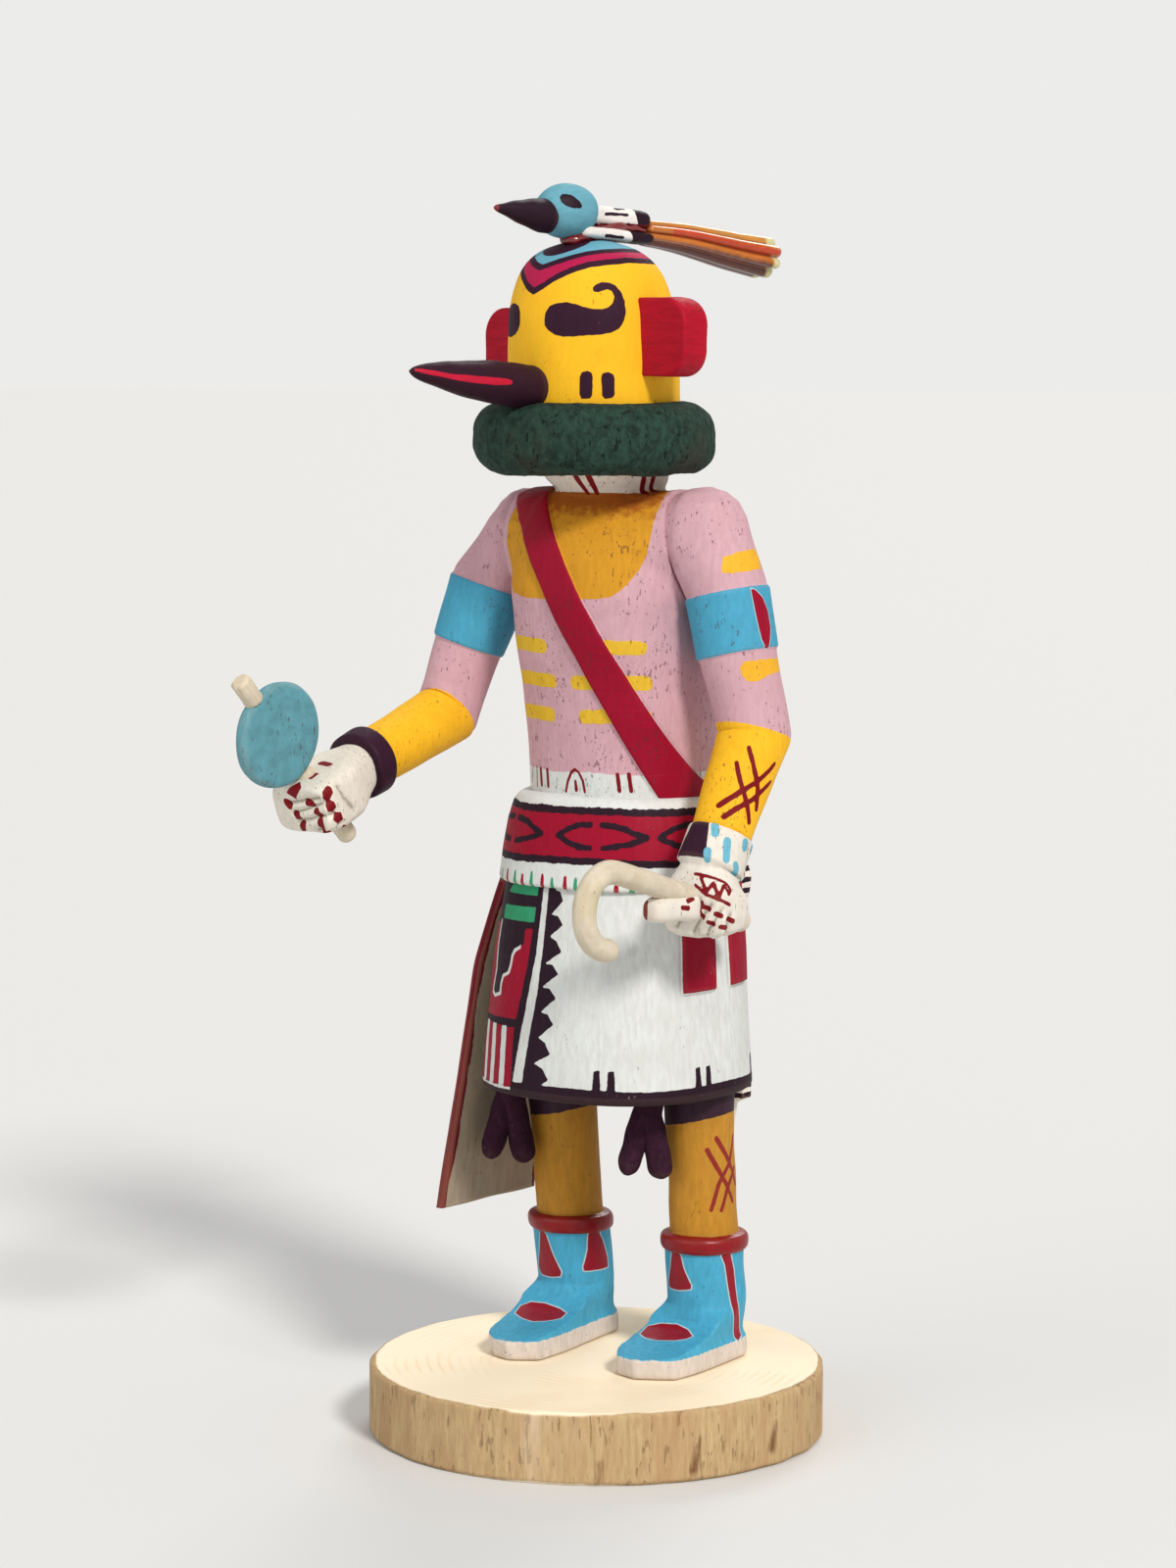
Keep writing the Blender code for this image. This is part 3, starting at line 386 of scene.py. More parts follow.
def start_group(name, inputs, outputs):
    """An empty shader group with named number sockets."""
    tree = bpy.data.node_groups.new(name, "ShaderNodeTree")
    for label, value in inputs.items():
        kind = "NodeSocketVector" if isinstance(value, tuple) else "NodeSocketFloat"
        socket = tree.interface.new_socket(label, in_out="INPUT", socket_type=kind)
        socket.default_value = value
    for label in outputs:
        tree.interface.new_socket(label, in_out="OUTPUT", socket_type="NodeSocketFloat")
    return tree, tree.nodes.new("NodeGroupInput").outputs, tree.nodes.new("NodeGroupOutput").inputs


def new_material(name):
    material = bpy.data.materials.new(name)
    material.use_nodes = True
    return material, material.node_tree, material.node_tree.nodes["Principled BSDF"]


def raise_skin(tree, shader, height, strength, distance):
    bump = put(tree, "ShaderNodeBump", {"Strength": strength, "Distance": distance,
                                        "Height": height})
    tree.links.new(bump.outputs[0], shader.inputs["Normal"])


def noise_of(tree, stretch, scale, detail=3.0, rough=0.55):
    """Noise on the piece's own coordinates, squeezed or stretched along its axes."""
    place = put(tree, "ShaderNodeTexCoord").outputs["Object"]
    if stretch is not None:
        place = put(tree, "ShaderNodeVectorMath", {0: place, 1: stretch},
                    operation="MULTIPLY").outputs[0]
    return put(tree, "ShaderNodeTexNoise", {"Vector": place, "Scale": scale, "Detail": detail,
                                            "Roughness": rough}).outputs[0]


print("node helpers ready")

# %% [markdown]
# ## Shared effects
# Four effects come back on nearly every piece, so each is a node group made once:
# `brush_edge` turns a distance into a paint mask with a wavering edge, `brush_drag` gives
# the streaks that bristles leave, `wood_pits` the small dark pores of root wood that paint
# never fills, and the last group rubs the proud places, adds random dirt blotches and
# darkens the hollow ones as painted shade.

# %% Shared node groups
edge_tree, given, result = start_group(
    "brush_edge", {"Distance": 1000.0, "Waver": 0.12, "Softness": 0.07}, ["Mask"])
calc = partial(sums, edge_tree)
waver = calc("MULTIPLY", calc("SUBTRACT", noise_of(edge_tree, None, 620.0), 0.5), 3.0)
shifted = calc("MULTIPLY_ADD", waver, given["Waver"], given["Distance"])
edge_tree.links.new(span(edge_tree, shifted, given["Softness"],
                         calc("MULTIPLY", given["Softness"], -1.0)), result["Mask"])

drag_tree, given, result = start_group(
    "brush_drag", {"Stretch": (1.0, 1.0, 0.2), "Scale": 1000.0}, ["Streak", "Cloud"])
bristles = noise_of(drag_tree, given["Stretch"], given["Scale"], 4.0, 0.6)
drag_tree.links.new(span(drag_tree, bristles, 0.25, 0.75), result["Streak"])
drag_tree.links.new(span(drag_tree, noise_of(drag_tree, None, 70.0), 0.3, 0.7),
                    result["Cloud"])

pit_tree, given, result = start_group(
    "wood_pits", {"Stretch": (1.0, 1.0, 0.4), "Scale": 1500.0, "Amount": 0.5}, ["Pits"])
calc = partial(sums, pit_tree)
fine_pits = noise_of(pit_tree, given["Stretch"], given["Scale"], 2.0, 0.7)
patchy = span(pit_tree, noise_of(pit_tree, None, 110.0, 2.0), 0.35, 0.75, 0.05, -0.05)
level = calc("ADD", calc("MULTIPLY_ADD", given["Amount"], -0.12, 0.72), patchy)
pit_tree.links.new(span(pit_tree, fine_pits, level, calc("ADD", level, 0.05)), result["Pits"])

wear_tree, given, result = start_group(
    "wear_dirt_and_shade", {"Proud": 0.0, "Wear": 0.5, "Dirt_and_shade": 0.5}, ["Rubbed", "Dirt_and_shade"])
calc = partial(sums, wear_tree)
rough_patch = calc("SUBTRACT", noise_of(wear_tree, None, 500.0, 4.0, 0.65), 0.5)
proud = calc("MULTIPLY_ADD", rough_patch, 0.10, given["Proud"])
wear_tree.links.new(calc("MULTIPLY", span(wear_tree, proud, 0.07, 0.15), given["Wear"]),
                    result["Rubbed"])
# Painted shade: hollows and creases are darkened as if less light reached them; the noise blotches
# are dirt.
hollow = span(wear_tree, proud, -0.05, -0.22, 0.0, 0.75)
blotch = span(wear_tree, noise_of(wear_tree, None, 120.0, 4.0, 0.6), 0.56, 0.8, 0.0, 0.35)
wear_tree.links.new(calc("MULTIPLY", calc("MAXIMUM", hollow, blotch), given["Dirt_and_shade"]),
                    result["Dirt_and_shade"])
print("groups:", [g.name for g in bpy.data.node_groups])

# %% [markdown]
# ## One recipe for painted wood
# The doll's paints are thin and mostly matt, laid over each other with a small brush. The
# recipe starts with a ground colour and lays the marks over it one after another, adds
# streaks, pits, wear, random dirt blotches and a painted shade in the hollows, and raises
# each layer of paint by a few hundredths of a millimetre. Red is the one paint with a little
# shine.

# %% Paint recipe
AUBERGINE = colour(50, 20, 40)
INK = colour(38, 17, 32)
RED = colour(152, 4, 40)
BRICK = colour(122, 12, 22)
TURQUOISE = colour(74, 160, 192)
YELLOW = colour(244, 186, 36)
OCHRE = colour(208, 148, 38)
PINK = colour(206, 164, 174)
WHITE = colour(214, 218, 216)
RASPBERRY = colour(176, 24, 74)
GREEN = colour(52, 152, 108)
BARE_WOOD = colour(214, 180, 138)


PAINT_THICKNESS = 0.05


def painted(name, ground, layers=(), rough=0.62, stretch=(1.0, 1.0, 0.25), pits=0.4,
            wear=0.5, dirt_and_shade=0.5, streak=0.18, bump=0.75, shade=0.8, pit_colour=None,
            shine=0.14, coat=0.0):
    """layers: (mark, colour, waver, roughness, softness) from the first coat to the last."""
    material, tree, shader = new_material(name)
    calc, mix = partial(sums, tree), partial(blend, tree)
    paint, gloss, height = ground, rough, 0.0
    shader.inputs["Specular IOR Level"].default_value = shine
    shader.inputs["Coat Weight"].default_value = coat
    shader.inputs["Coat Roughness"].default_value = 0.08
    for mark, tint, waver_size, layer_rough, *soft in layers:
        mask = put(tree, "ShaderNodeGroup", {
            "Distance": mark_of(tree, mark), "Waver": waver_size,
            "Softness": soft[0] if soft else 0.07}, node_tree=edge_tree).outputs["Mask"]
        paint = mix(mask, paint, tint)
        gloss = put(tree, "ShaderNodeMix", {0: mask, 2: gloss, 3: layer_rough}).outputs[0]
        height = calc("MULTIPLY_ADD", mask, PAINT_THICKNESS, height)
    drag = put(tree, "ShaderNodeGroup", {"Stretch": stretch}, node_tree=drag_tree).outputs
    holes = put(tree, "ShaderNodeGroup", {"Amount": pits}, node_tree=pit_tree).outputs["Pits"]
    wear_dirt_shade = put(tree, "ShaderNodeGroup", {
        "Proud": mark_of(tree, "proud"), "Wear": wear, "Dirt_and_shade": dirt_and_shade},
        node_tree=wear_tree).outputs
    darker = mix(1.0, paint, (shade, shade * 0.97, shade * 0.95, 1.0), "MULTIPLY")
    paint = mix(calc("MULTIPLY", drag["Streak"], 4.0 * streak), paint, darker)
    paint = mix(calc("MULTIPLY", drag["Cloud"], 0.45), paint, darker)
    # Painted shade in the hollows, together with random dirt blotches, multiplied into the paint.
    paint = mix(wear_dirt_shade["Dirt_and_shade"], paint, colour(92, 62, 44), "MULTIPLY")
    paint = mix(wear_dirt_shade["Rubbed"], paint, BARE_WOOD)
    paint = mix(calc("MULTIPLY", holes, 0.6), paint, pit_colour or colour(92, 44, 52))
    tree.links.new(paint, shader.inputs["Base Color"])
    gloss = calc("MULTIPLY_ADD", drag["Streak"], 0.12, gloss)
    tree.links.new(gloss, shader.inputs["Roughness"])
    height = calc("MULTIPLY_ADD", drag["Streak"], 0.035, height)
    height = calc("MULTIPLY_ADD", holes, -0.12, height)
    raise_skin(tree, shader, height, bump, MM)
    return material


def finish_piece(piece, material, slot, *nodes):
    """Give a piece its material, hang it under the root, and hide the solids it stands for."""
    piece.data.materials.clear()
    piece.data.materials.append(material)
    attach(piece, "root")
    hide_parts(*nodes)
    print(f"{piece.name}: {len(piece.data.polygons)} faces")


# %% [markdown]
# ## The kilt
# On the real doll the kilt is the lower half of the trunk, a tall rounded block that flares
# to the hem. It is white, with a black and red embroidered border down the doll's right
# side and a dark hem. Angles are counted round the trunk from its front, in degrees, and
# one degree is a little under half a millimetre.

# %% Kilt shape
TRUNK_Y = ((75.6, 7.0), (85.6, 7.3), (103.6, 7.9), (120.8, 8.9), (128.0, 9.4), (140.4, 10.0),
           (154.4, 9.1), (164.4, 8.5), (174.4, 7.8), (183.4, 7.2), (191.4, 6.6), (197.0, 6.1),
           (205.0, 5.0))


def round_trunk(points):
    """Where each point lies on the unrolled trunk: degrees from the front, and height."""
    centre_y = np.interp(points[:, 2], *np.array(TRUNK_Y).T)
    turn = np.degrees(np.arctan2(points[:, 1] - centre_y, points[:, 0])) + 90.0
    return (turn + 180.0) % 360.0 - 180.0, points[:, 2]


def unrolled(points, per_degree):
    turn, height = round_trunk(points)
    return np.stack([turn * per_degree, height], 1)


def on_sheet(outline, per_degree):
    return [(turn * per_degree, z) for turn, z in outline]


def sheet_patches(sheet, per_degree, *outlines):
    """Distance to the nearest of several outlines, each given in degrees and height."""
    return nearest(patch_gap(sheet, on_sheet(outline, per_degree)) for outline in outlines)


kilt_table = [(75.6, 7.0, 27.9, 26.3, 2.4), (75.9, 7.0, 28.4, 26.8, 2.4),
              (76.6, 7.0, 28.6, 27.0, 2.4)]
kilt_table += [tuple(row) for row in dense_line(
    [(76.6, 7.0, 28.6, 27.0, 2.4), (85.6, 7.3, 28.0, 26.5, 2.4), (103.6, 7.9, 26.8, 25.2, 2.4),
     (120.8, 8.9, 25.1, 23.3, 2.35), (123.0, 9.0, 24.9, 23.1, 2.35)], 0.42, 3.0, 4)[1:]]
kilt = skin("kilt", oval_rows(kilt_table, 400))
points, facing = places_of(kilt)
turn, height = round_trunk(points)
MM_PER_DEGREE = 0.45
sheet = unrolled(points, MM_PER_DEGREE)
belt_ends = sheet_patches(sheet, MM_PER_DEGREE, *[
    [(first, low), (last, low), (last, 130), (first, 130)]
    for first, last, low in ((66.3, 87.2, 99.2), (98.0, 116.0, 99.4))])
uneven = 0.16 * ripple(points, 16.0, 3) * (height > 76.0)
move_out(kilt, step_up(belt_ends, 0.9) + uneven)

# %% [markdown]
# The embroidered border was painted from the top down: two green bars, a stepped black
# field with a white line against red, a black bar and red and white stripes. A white strip
# and a column of black teeth part it from the plain white cloth.

# %% Kilt marks
on_kilt = partial(sheet_patches, sheet, MM_PER_DEGREE)
teeth = [(-4.9, 121.5), (0.4, 120.6), (5.4, 118.5), (-1.4, 115.4), (6.7, 113.4), (-0.7, 110.7),
         (7.4, 107.7), (-2.2, 104.9), (6.4, 103.0), (-3.1, 99.8), (5.8, 97.8), (-3.1, 94.4),
         (5.2, 92.2), (-3.3, 89.0), (4.4, 85.7), (-5.0, 83.4), (4.2, 80.2), (-2.0, 78.4),
         (-11.6, 78.0), (-8.6, 90.0), (-5.6, 99.0), (-4.4, 106.6)]
border_right = [(-8.0, 122.0), (-8.4, 120.0), (-8.5, 106.5), (-14.1, 90.0), (-17.8, 77.5)]
rounded = []
for here, after in zip(teeth, teeth[1:] + teeth[:1]):
    rounded.append(here)
    if after[0] > here[0] and here[1] > 80.0 > here[0] > -6.0:
        rounded.append((0.45 * here[0] + 0.55 * after[0], 0.4 * here[1] + 0.6 * after[1] + 1.1))
ink = on_kilt(rounded, border_right + [(-61.0, 77.5), (-60.0, 122.0)])
stepped = [(-15.2, 112.4), (-18.4, 111.4), (-17.7, 108.7), (-19.6, 107.8), (-24.0, 106.8),
           (-25.3, 105.6), (-25.5, 104.0), (-26.7, 101.8), (-31.4, 100.9), (-32.7, 99.2),
           (-32.8, 97.0), (-39.1, 96.1), (-43.5, 96.8), (-42.5, 98.6), (-41.5, 100.3),
           (-40.5, 102.0), (-42.0, 107.4), (-41.0, 112.4)]
field = on_kilt([(-12.6, 111.9), (-13.6, 104.0), (-18.2, 92.2), (-57.5, 91.5), (-57.5, 111.9)])
red_marks = [np.maximum(field, -on_kilt(stepped))]
white_marks = [line_gap(sheet, on_sheet(stepped, MM_PER_DEGREE), 0.75)]
for stripe in range(4):
    top, foot = -53.4 + 9.6 * stripe, -50.6 + 9.0 * stripe
    red_marks.append(on_kilt([(top, 90.2), (top + 5.4, 90.4), (foot + 5.0, 77.6), (foot, 77.2)]))
    white_marks.append(on_kilt([(top + 5.4, 90.4), (top + 9.6, 90.4), (foot + 9.0, 77.6),
                                (foot + 5.0, 77.4)]))
white_marks = np.where(turn > -19.5, 100.0, nearest(white_marks))
green_marks = on_kilt([(-37, 118.8), (-33, 120.7), (-12, 121), (-12, 119)],
                      [(-38.8, 116.1), (-12.4, 116.5), (-12.4, 113.3), (-39.0, 113.0)])
hem_line = np.maximum(height - 78.9 - 0.15 * np.sin(np.radians(turn * 5)), -100.0)
hem_line = np.where((turn < -18.0) & (turn > -60.0), np.maximum(hem_line, height - 76.9),
                    hem_line)
hem_ticks = on_kilt(*[
    [(middle - 1.9, 78.0), (middle - 1.5, 83.0), (middle + 1.2, 83.2), (middle + 2.0, 78.0)]
    for pair in (31.8, 78.0, 124.0, 170.0, -144.0) for middle in (pair - 3.2, pair + 3.2)])
keep_marks(kilt, ink=nearest([ink, hem_line, hem_ticks]), red=nearest(red_marks),
           white=white_marks,
           green=green_marks, flap=belt_ends)
kilt_paint = painted("kilt_paint", WHITE, [
    ("ink", INK, 0.16, 0.55), ("red", RED, 0.12, 0.5), ("white", WHITE, 0.12, 0.62),
    ("green", GREEN, 0.14, 0.6), ("flap", colour(146, 4, 38), 0.05, 0.5)],
    pits=0.2, wear=0.02, dirt_and_shade=0.4, streak=0.26, shade=0.84, pit_colour=colour(120, 104, 98))
finish_piece(kilt, kilt_paint, "painted_wood", "body")

# %% [markdown]
# ## The sash round the waist
# The sash is one carved step round the trunk. Its top edge is rounded off into a white
# ledge. The red band carries broken hexagons in black, and the white band under it has a
# row of red and green ticks along its lower edge. The ticks and hexagons repeat, so they
# are laid out by angle.

# %% Sash
sash_table = dense_line(
    [(119.6, 8.8, 24.6, 22.8, 2.35), (120.95, 8.9, 24.9, 23.1, 2.35),
     (121.0, 8.9, 25.9, 24.3, 2.35), (121.6, 8.9, 26.3, 24.7, 2.35),
     (128.0, 9.4, 26.0, 24.3, 2.3), (134.5, 9.7, 25.0, 23.3, 2.3),
     (138.4, 10.0, 24.1, 22.4, 2.3), (139.8, 10.0, 23.1, 21.5, 2.3),
     (140.5, 10.0, 21.9, 20.3, 2.3), (140.7, 10.0, 19.0, 17.5, 2.3)], 0.4, 0.3, 4)
sash = skin("sash", oval_rows(sash_table, 400))
points, _ = carve(sash, 0.14, 18.0, 5)
turn, height = round_trunk(points)
MM_PER_DEGREE = 0.43
sheet = unrolled(points, MM_PER_DEGREE)
band = np.maximum(height - 137.9, 127.1 - height)
top_line = np.abs(height - 137.9 - 0.15 * np.sin(np.radians(turn * 4.0)))
low_line = np.abs(height - 127.1 - 0.3 * np.sin(np.radians(turn * 3.0 + 40.0)))
lines = [np.minimum(top_line, low_line) - 0.78]
left_hook = [(-4.6, 2.75), (-10.8, 2.55), (-17.0, 1.8), (-22.2, 0.6), (-23.9, 0.0),
             (-20.0, -0.8), (-15.8, -1.5), (-11.0, -2.0), (-4.2, -2.2)]
right_hook = [(1.4, 2.75), (8.0, 2.5), (13.0, 2.0), (18.2, 1.0), (23.9, 0.1), (19.8, -0.6),
              (14.2, -1.3), (8.2, -1.8), (3.2, -2.1)]
for middle in (-34.6, 24.5, 78.5, 139.8, -158.6, -96.6):
    for hook in (left_hook, right_hook):
        for whole_turn in (0.0, -360.0):
            path = [(middle + whole_turn + t, 132.5 + z) for t, z in hook]
            lines.append(line_gap(sheet, on_sheet(path, MM_PER_DEGREE), 1.3))
ticks = {"red": [], "green": []}
dice = np.random.default_rng(11)
for count in range(52):
    middle = -180.0 + count * 360.0 / 52.0 + dice.uniform(-0.7, 0.7)
    top = 123.6 + dice.uniform(-0.3, 0.5)
    which = "red" if count % 2 else "green"
    low = 121.3 if which == "red" else 121.2
    across = middle * MM_PER_DEGREE
    ticks[which].append(line_gap(sheet, [(across, top), (across + 0.1, low)], (0.65, 1.15)))
keep_marks(sash, band=band, ink=nearest(lines), red=nearest(ticks["red"]),
           green=nearest(ticks["green"]))
sash_paint = painted("sash_paint", WHITE, [
    ("band", RED, 0.08, 0.5), ("ink", INK, 0.32, 0.55), ("red", RED, 0.12, 0.5),
    ("green", GREEN, 0.12, 0.6)],
    pits=0.15, wear=0.1, dirt_and_shade=0.25, shade=0.88, pit_colour=colour(120, 104, 98))
finish_piece(sash, sash_paint, "painted_wood", "body")

# %% [markdown]
# ## Trunk and neck
# The chest is a slim rounded block that leans a little forward. It is pink, with an ochre
# yoke round the neck, short yellow bars down the front and a white band with red signs
# just above the sash. The red strap was left standing proud when the chest was carved, so
# it is raised here too and isn't a separate strip.

# %% Trunk shape
trunk_table = dense_line(
    [(139.6, 10.0, 20.6, 18.3, 2.3), (146.4, 9.6, 20.6, 18.3, 2.3),
     (154.4, 9.1, 20.9, 18.7, 2.3), (164.4, 8.5, 21.3, 19.4, 2.35),
     (174.4, 7.8, 21.8, 20.8, 2.4), (183.4, 7.2, 21.8, 21.6, 2.45),
     (191.4, 6.6, 21.8, 19.9, 2.5), (197.0, 6.1, 21.8, 17.6, 2.6),
     (200.6, 5.8, 21.8, 15.0, 2.6), (202.8, 5.6, 20.6, 13.0, 2.5),
     (204.3, 5.4, 17.4, 11.4, 2.4), (205.4, 5.0, 13.4, 10.8, 2.1),
     (205.9, 4.6, 11.6, 11.4, 2.0), (207.0, 4.2, 12.0, 12.0, 2.0), (208.4, 3.6, 13.2, 13.2, 2.0),
     (210.6, 2.8, 13.8, 13.8, 2.0)], 0.42, 1.0, 4)
trunk = skin("trunk", oval_rows(trunk_table, 360))
points, facing = places_of(trunk)
strap_middle = np.array([4.0, -13.4, 179.2])
strap_across = np.array([0.816, 0.316, 0.484])
strap_gap = np.abs((points - strap_middle) @ strap_across) - 3.9
on_neck = (points[:, 2] > 205.2) & (np.hypot(points[:, 0], points[:, 1] - 4.0) < 14.5)
strap_gap = np.where(on_neck, 50.0, strap_gap)
move_out(trunk, step_up(strap_gap, 0.8) + 0.2 * ripple(points, 15.0, 8))

# %% Trunk marks
MM_PER_DEGREE = 0.37
yoke_line = [(-180, 196), (-140, 198), (-112, 202), (-86, 204.5), (-64.9, 202.8),
             (-62.9, 199.7), (-58.6, 196), (-56.2, 191.5), (-50.7, 187.1), (-42, 184.1),
             (-24.6, 183.1), (-8, 183.0), (8, 183.2), (27, 183.5), (34, 184), (42.3, 186.3),
             (49.9, 189.6), (55.5, 193.2), (58.9, 196.8), (64.1, 200.3), (80.7, 204.0),
             (100, 205.2), (122, 203), (150, 198), (180, 196), (180, 230), (-180, 230)]
sheet = unrolled(points, MM_PER_DEGREE)
turn, height = round_trunk(points)
yoke = sheet_patches(sheet, MM_PER_DEGREE, yoke_line)


def chest_stroke(path, width):
    return line_gap(sheet, on_sheet(path, MM_PER_DEGREE), width)


bars = []
for z, left, right in ((173.0, 9.0, 51.0), (165.4, 5.6, 54.0), (158.0, 9.8, 53.0)):
    for a, b, inset in ((left, right, 0.9), (-left - 3.5, -right - 3.5, -0.9)):
        inset /= MM_PER_DEGREE
        bars.append(chest_stroke([(a + inset, z - 0.1), (0.5 * (a + b), z + 0.2),
                                  (b - inset, z)], 3.1))
waist = height - 145.7 - 0.2 * np.sin(np.radians(turn * 6.0))
signs = []
arch = [(-8, 141.4), (-6.4, 143.6), (-3.2, 145.6), (0.2, 146.3), (3.4, 145.7), (6.6, 143.9),
        (8.0, 141.6)]
for start in (1.9, 76.0, 150.0, -136.0, -62.0):
    signs.append(chest_stroke([(start + t, z) for t, z in arch], 0.72))
    signs.append(chest_stroke([(start + 0.2, 143.8), (start + 1.0, 142.0)], (0.7, 1.1)))
    for stroke in (start + 31.2, start + 38.4):
        signs.append(chest_stroke([(stroke, 145.7), (stroke + 1.0, 142.1)], 0.95))
for stroke in ([(-42.2, 146.3), (-45.3, 142.3)], [(-35.8, 146.2), (-36.0, 141.6)]):
    signs.append(chest_stroke(stroke, 0.45))
neck = np.where(on_neck, 205.7 - height, 50.0)
stripes = []
NECK_MM_PER_DEGREE = 0.24
around_neck = unrolled(points, NECK_MM_PER_DEGREE)
for start in (14.0, 74.0, 134.0, -166.0, -106.0, -42.0):
    for shift in (-5.6, 5.8):
        wide = 0.45 if start == -42.0 else 1.3
        stroke = [(start + shift + t, z) for t, z in ((-1.6, 210.2), (0.4, 207.8), (2.2, 205.7))]
        stripes.append(line_gap(around_neck, on_sheet(stroke, NECK_MM_PER_DEGREE), wide))
stripes = np.where(on_neck, nearest(stripes), 50.0)
stain = np.maximum(yoke, 201.6 - height)
keep_marks(trunk, waist=waist, bars=nearest(bars), yoke=yoke, stain=stain, neck=neck,
           signs=nearest([*signs, stripes]), strap=strap_gap)
trunk_paint = painted("trunk_paint", PINK, [
    ("waist", WHITE, 0.3, 0.62), ("bars", colour(226, 184, 52), 0.3, 0.6),
    ("yoke", OCHRE, 0.2, 0.66),
    ("stain", colour(164, 92, 28), 2.6, 0.7, 2.0), ("neck", colour(232, 226, 216), 0.15, 0.62),
    ("signs", BRICK, 0.1, 0.5), ("strap", colour(150, 4, 40), 0.05, 0.5)],
    pits=0.75, wear=0.0, dirt_and_shade=0.35, streak=0.22, shade=0.84)
finish_piece(trunk, trunk_paint, "painted_wood", "body")

# %% [markdown]
# ## The head
# The head is a plain round post with a domed crown, turned a little to the doll's right.
# The mask is all paint: yellow, with two rounded bars for eyes whose outer ends curl up,
# two short bars on each cheek, and a pointed cap of red and turquoise bordered in black.

# %% Head
turn_of_head = math.radians(8.0)
HEAD_AHEAD = np.array([-math.sin(turn_of_head), -math.cos(turn_of_head), 0.0])
HEAD_LEFT = np.array([math.cos(turn_of_head), -math.sin(turn_of_head), 0.0])
HEAD_MIDDLE = np.array([0.0, -1.3, 0.0])


def head_place(ahead, left, z):
    place = HEAD_MIDDLE + HEAD_AHEAD * ahead + HEAD_LEFT * left
    return (float(place[0]), float(place[1]), z)


def head_rings(rows, sides, power=1.0):
    """Rings square to the way the head faces, from rows of ahead, left, z and half widths."""
    c, s = [np.sign(way) * np.abs(way) ** power
            for way in (np.cos(round_angles(sides)), np.sin(round_angles(sides)))]
    return [[head_place(ahead, left + wide * x, z + high * y) for x, y in zip(c, s)]
            for ahead, left, z, wide, high in rows]


head_table = dense_line(
    [(209.9, 12.0, -0.9), (211.0, 17.2, -0.9), (212.4, 18.4, -0.9), (228.6, 18.5, -1.15),
     (237.0, 18.35, -1.5), (243.4, 17.95, -1.8), (247.9, 17.0, -2.05), (252.0, 15.6, -2.3),
     (255.2, 13.2, -2.5), (257.4, 10.1, -2.65), (258.8, 6.1, -2.75), (259.3, 3.0, -2.8),
     (259.4, 0.3, -2.8)], 0.4, 1.3, 2)
head = skin("head", oval_rows([(z, cy, r, r, 2.0) for z, r, cy in head_table], 320))
points, facing = carve(head, 0.12, 14.0, 13)
local = points - HEAD_MIDDLE
turn = np.degrees(np.arctan2(local @ HEAD_LEFT, local @ HEAD_AHEAD))
MM_PER_DEGREE = 0.318
eye_bar = [(11.8, 242.3), (12.3, 243.9), (15.3, 245.3), (20.2, 245.8), (26.7, 246.0),
           (33.1, 245.7), (39.3, 245.0), (45.4, 244.6), (51.5, 244.5), (56.0, 245.0),
           (59.3, 245.9), (60.4, 247.2), (58.7, 248.3), (55.5, 248.7), (51.7, 248.4),
           (49.0, 248.0), (45.9, 248.2), (45.0, 249.0), (47.2, 249.7), (51.9, 250.2),
           (57.6, 250.1), (62.3, 249.4), (65.8, 248.0), (67.9, 246.1), (68.2, 244.2),
           (66.7, 242.0), (62.8, 240.4), (57.5, 239.6), (49.7, 239.2), (41.2, 239.1),
           (32.6, 238.8), (25.4, 238.8), (19.0, 239.3), (14.4, 240.2), (11.9, 241.3)]
cheek_bars = ([(36.8, 230.4), (38.0, 231.3), (42.0, 231.7), (44.6, 231.3), (45.4, 230.2),
               (45.1, 226.6), (43.7, 225.9), (38.0, 225.8), (36.6, 226.7)],
              [(50.9, 230.4), (51.8, 231.2), (56.0, 231.4), (58.9, 231.0), (59.8, 229.9),
               (60.0, 226.7), (58.5, 226.0), (53.2, 225.8), (51.5, 226.6)])
face = nearest(
    sheet_patches(np.stack([way * turn * MM_PER_DEGREE, points[:, 2]], 1), MM_PER_DEGREE,
                  eye_bar, *cheek_bars) for way in (1.0, -1.0))
LOW_EDGE = ((0, 248.4), (8, 249.5), (17, 251.2), (28, 252.7), (42, 253.9), (58, 254.5),
            (76, 254.9), (180, 254.7))
HIGH_EDGE = ((0, 253.4), (12, 254.4), (25, 255.4), (39, 256.3), (55, 256.8), (75, 257.0),
             (180, 257.2))
away = np.abs(turn)
above_low = np.interp(away, *np.array(LOW_EDGE).T) - points[:, 2]
above_high = np.interp(away, *np.array(HIGH_EDGE).T) - points[:, 2]
slant = np.clip(np.sqrt(1.0 - np.clip(facing[:, 2], 0.0, 0.95) ** 2), 0.3, 1.0)
above_low, above_high = above_low / slant, above_high / slant
cap_lines = np.minimum(np.abs(above_low), np.abs(above_high)) - 0.8
front_patch = np.hypot(local @ HEAD_AHEAD - 8.4, local @ HEAD_LEFT - 0.3) - 5.0
back_patch = line_gap(points[:, :2], [head_place(6, 0.4, 0)[:2], head_place(-9, 0.8, 0)[:2]], 7.0)
patch = np.where(points[:, 2] > 254.0, np.minimum(front_patch, back_patch), 50.0)
keep_marks(head, cap=above_low, crown=above_high, ink=nearest([face, cap_lines, patch]))
head_paint = painted("mask_paint", YELLOW, [
    ("cap", RASPBERRY, 0.1, 0.55), ("crown", colour(104, 168, 190), 0.1, 0.6),
    ("ink", AUBERGINE, 0.12, 0.6)],
    pits=0.22, wear=0.08, dirt_and_shade=0.3, streak=0.12, shade=0.9, pit_colour=colour(150, 96, 30))
finish_piece(head, head_paint, "painted_wood", "body")

# %% [markdown]
# ## Legs and boots
# Each leg is one post from the sole to the kilt. The sole's outline is laid out flat, cut
# back step by step to slope the instep, and turned into a round boot shaft. The boots are
# turquoise with red tassels and tongues edged by a thin white line, and a red ring is left
# standing round each boot top.


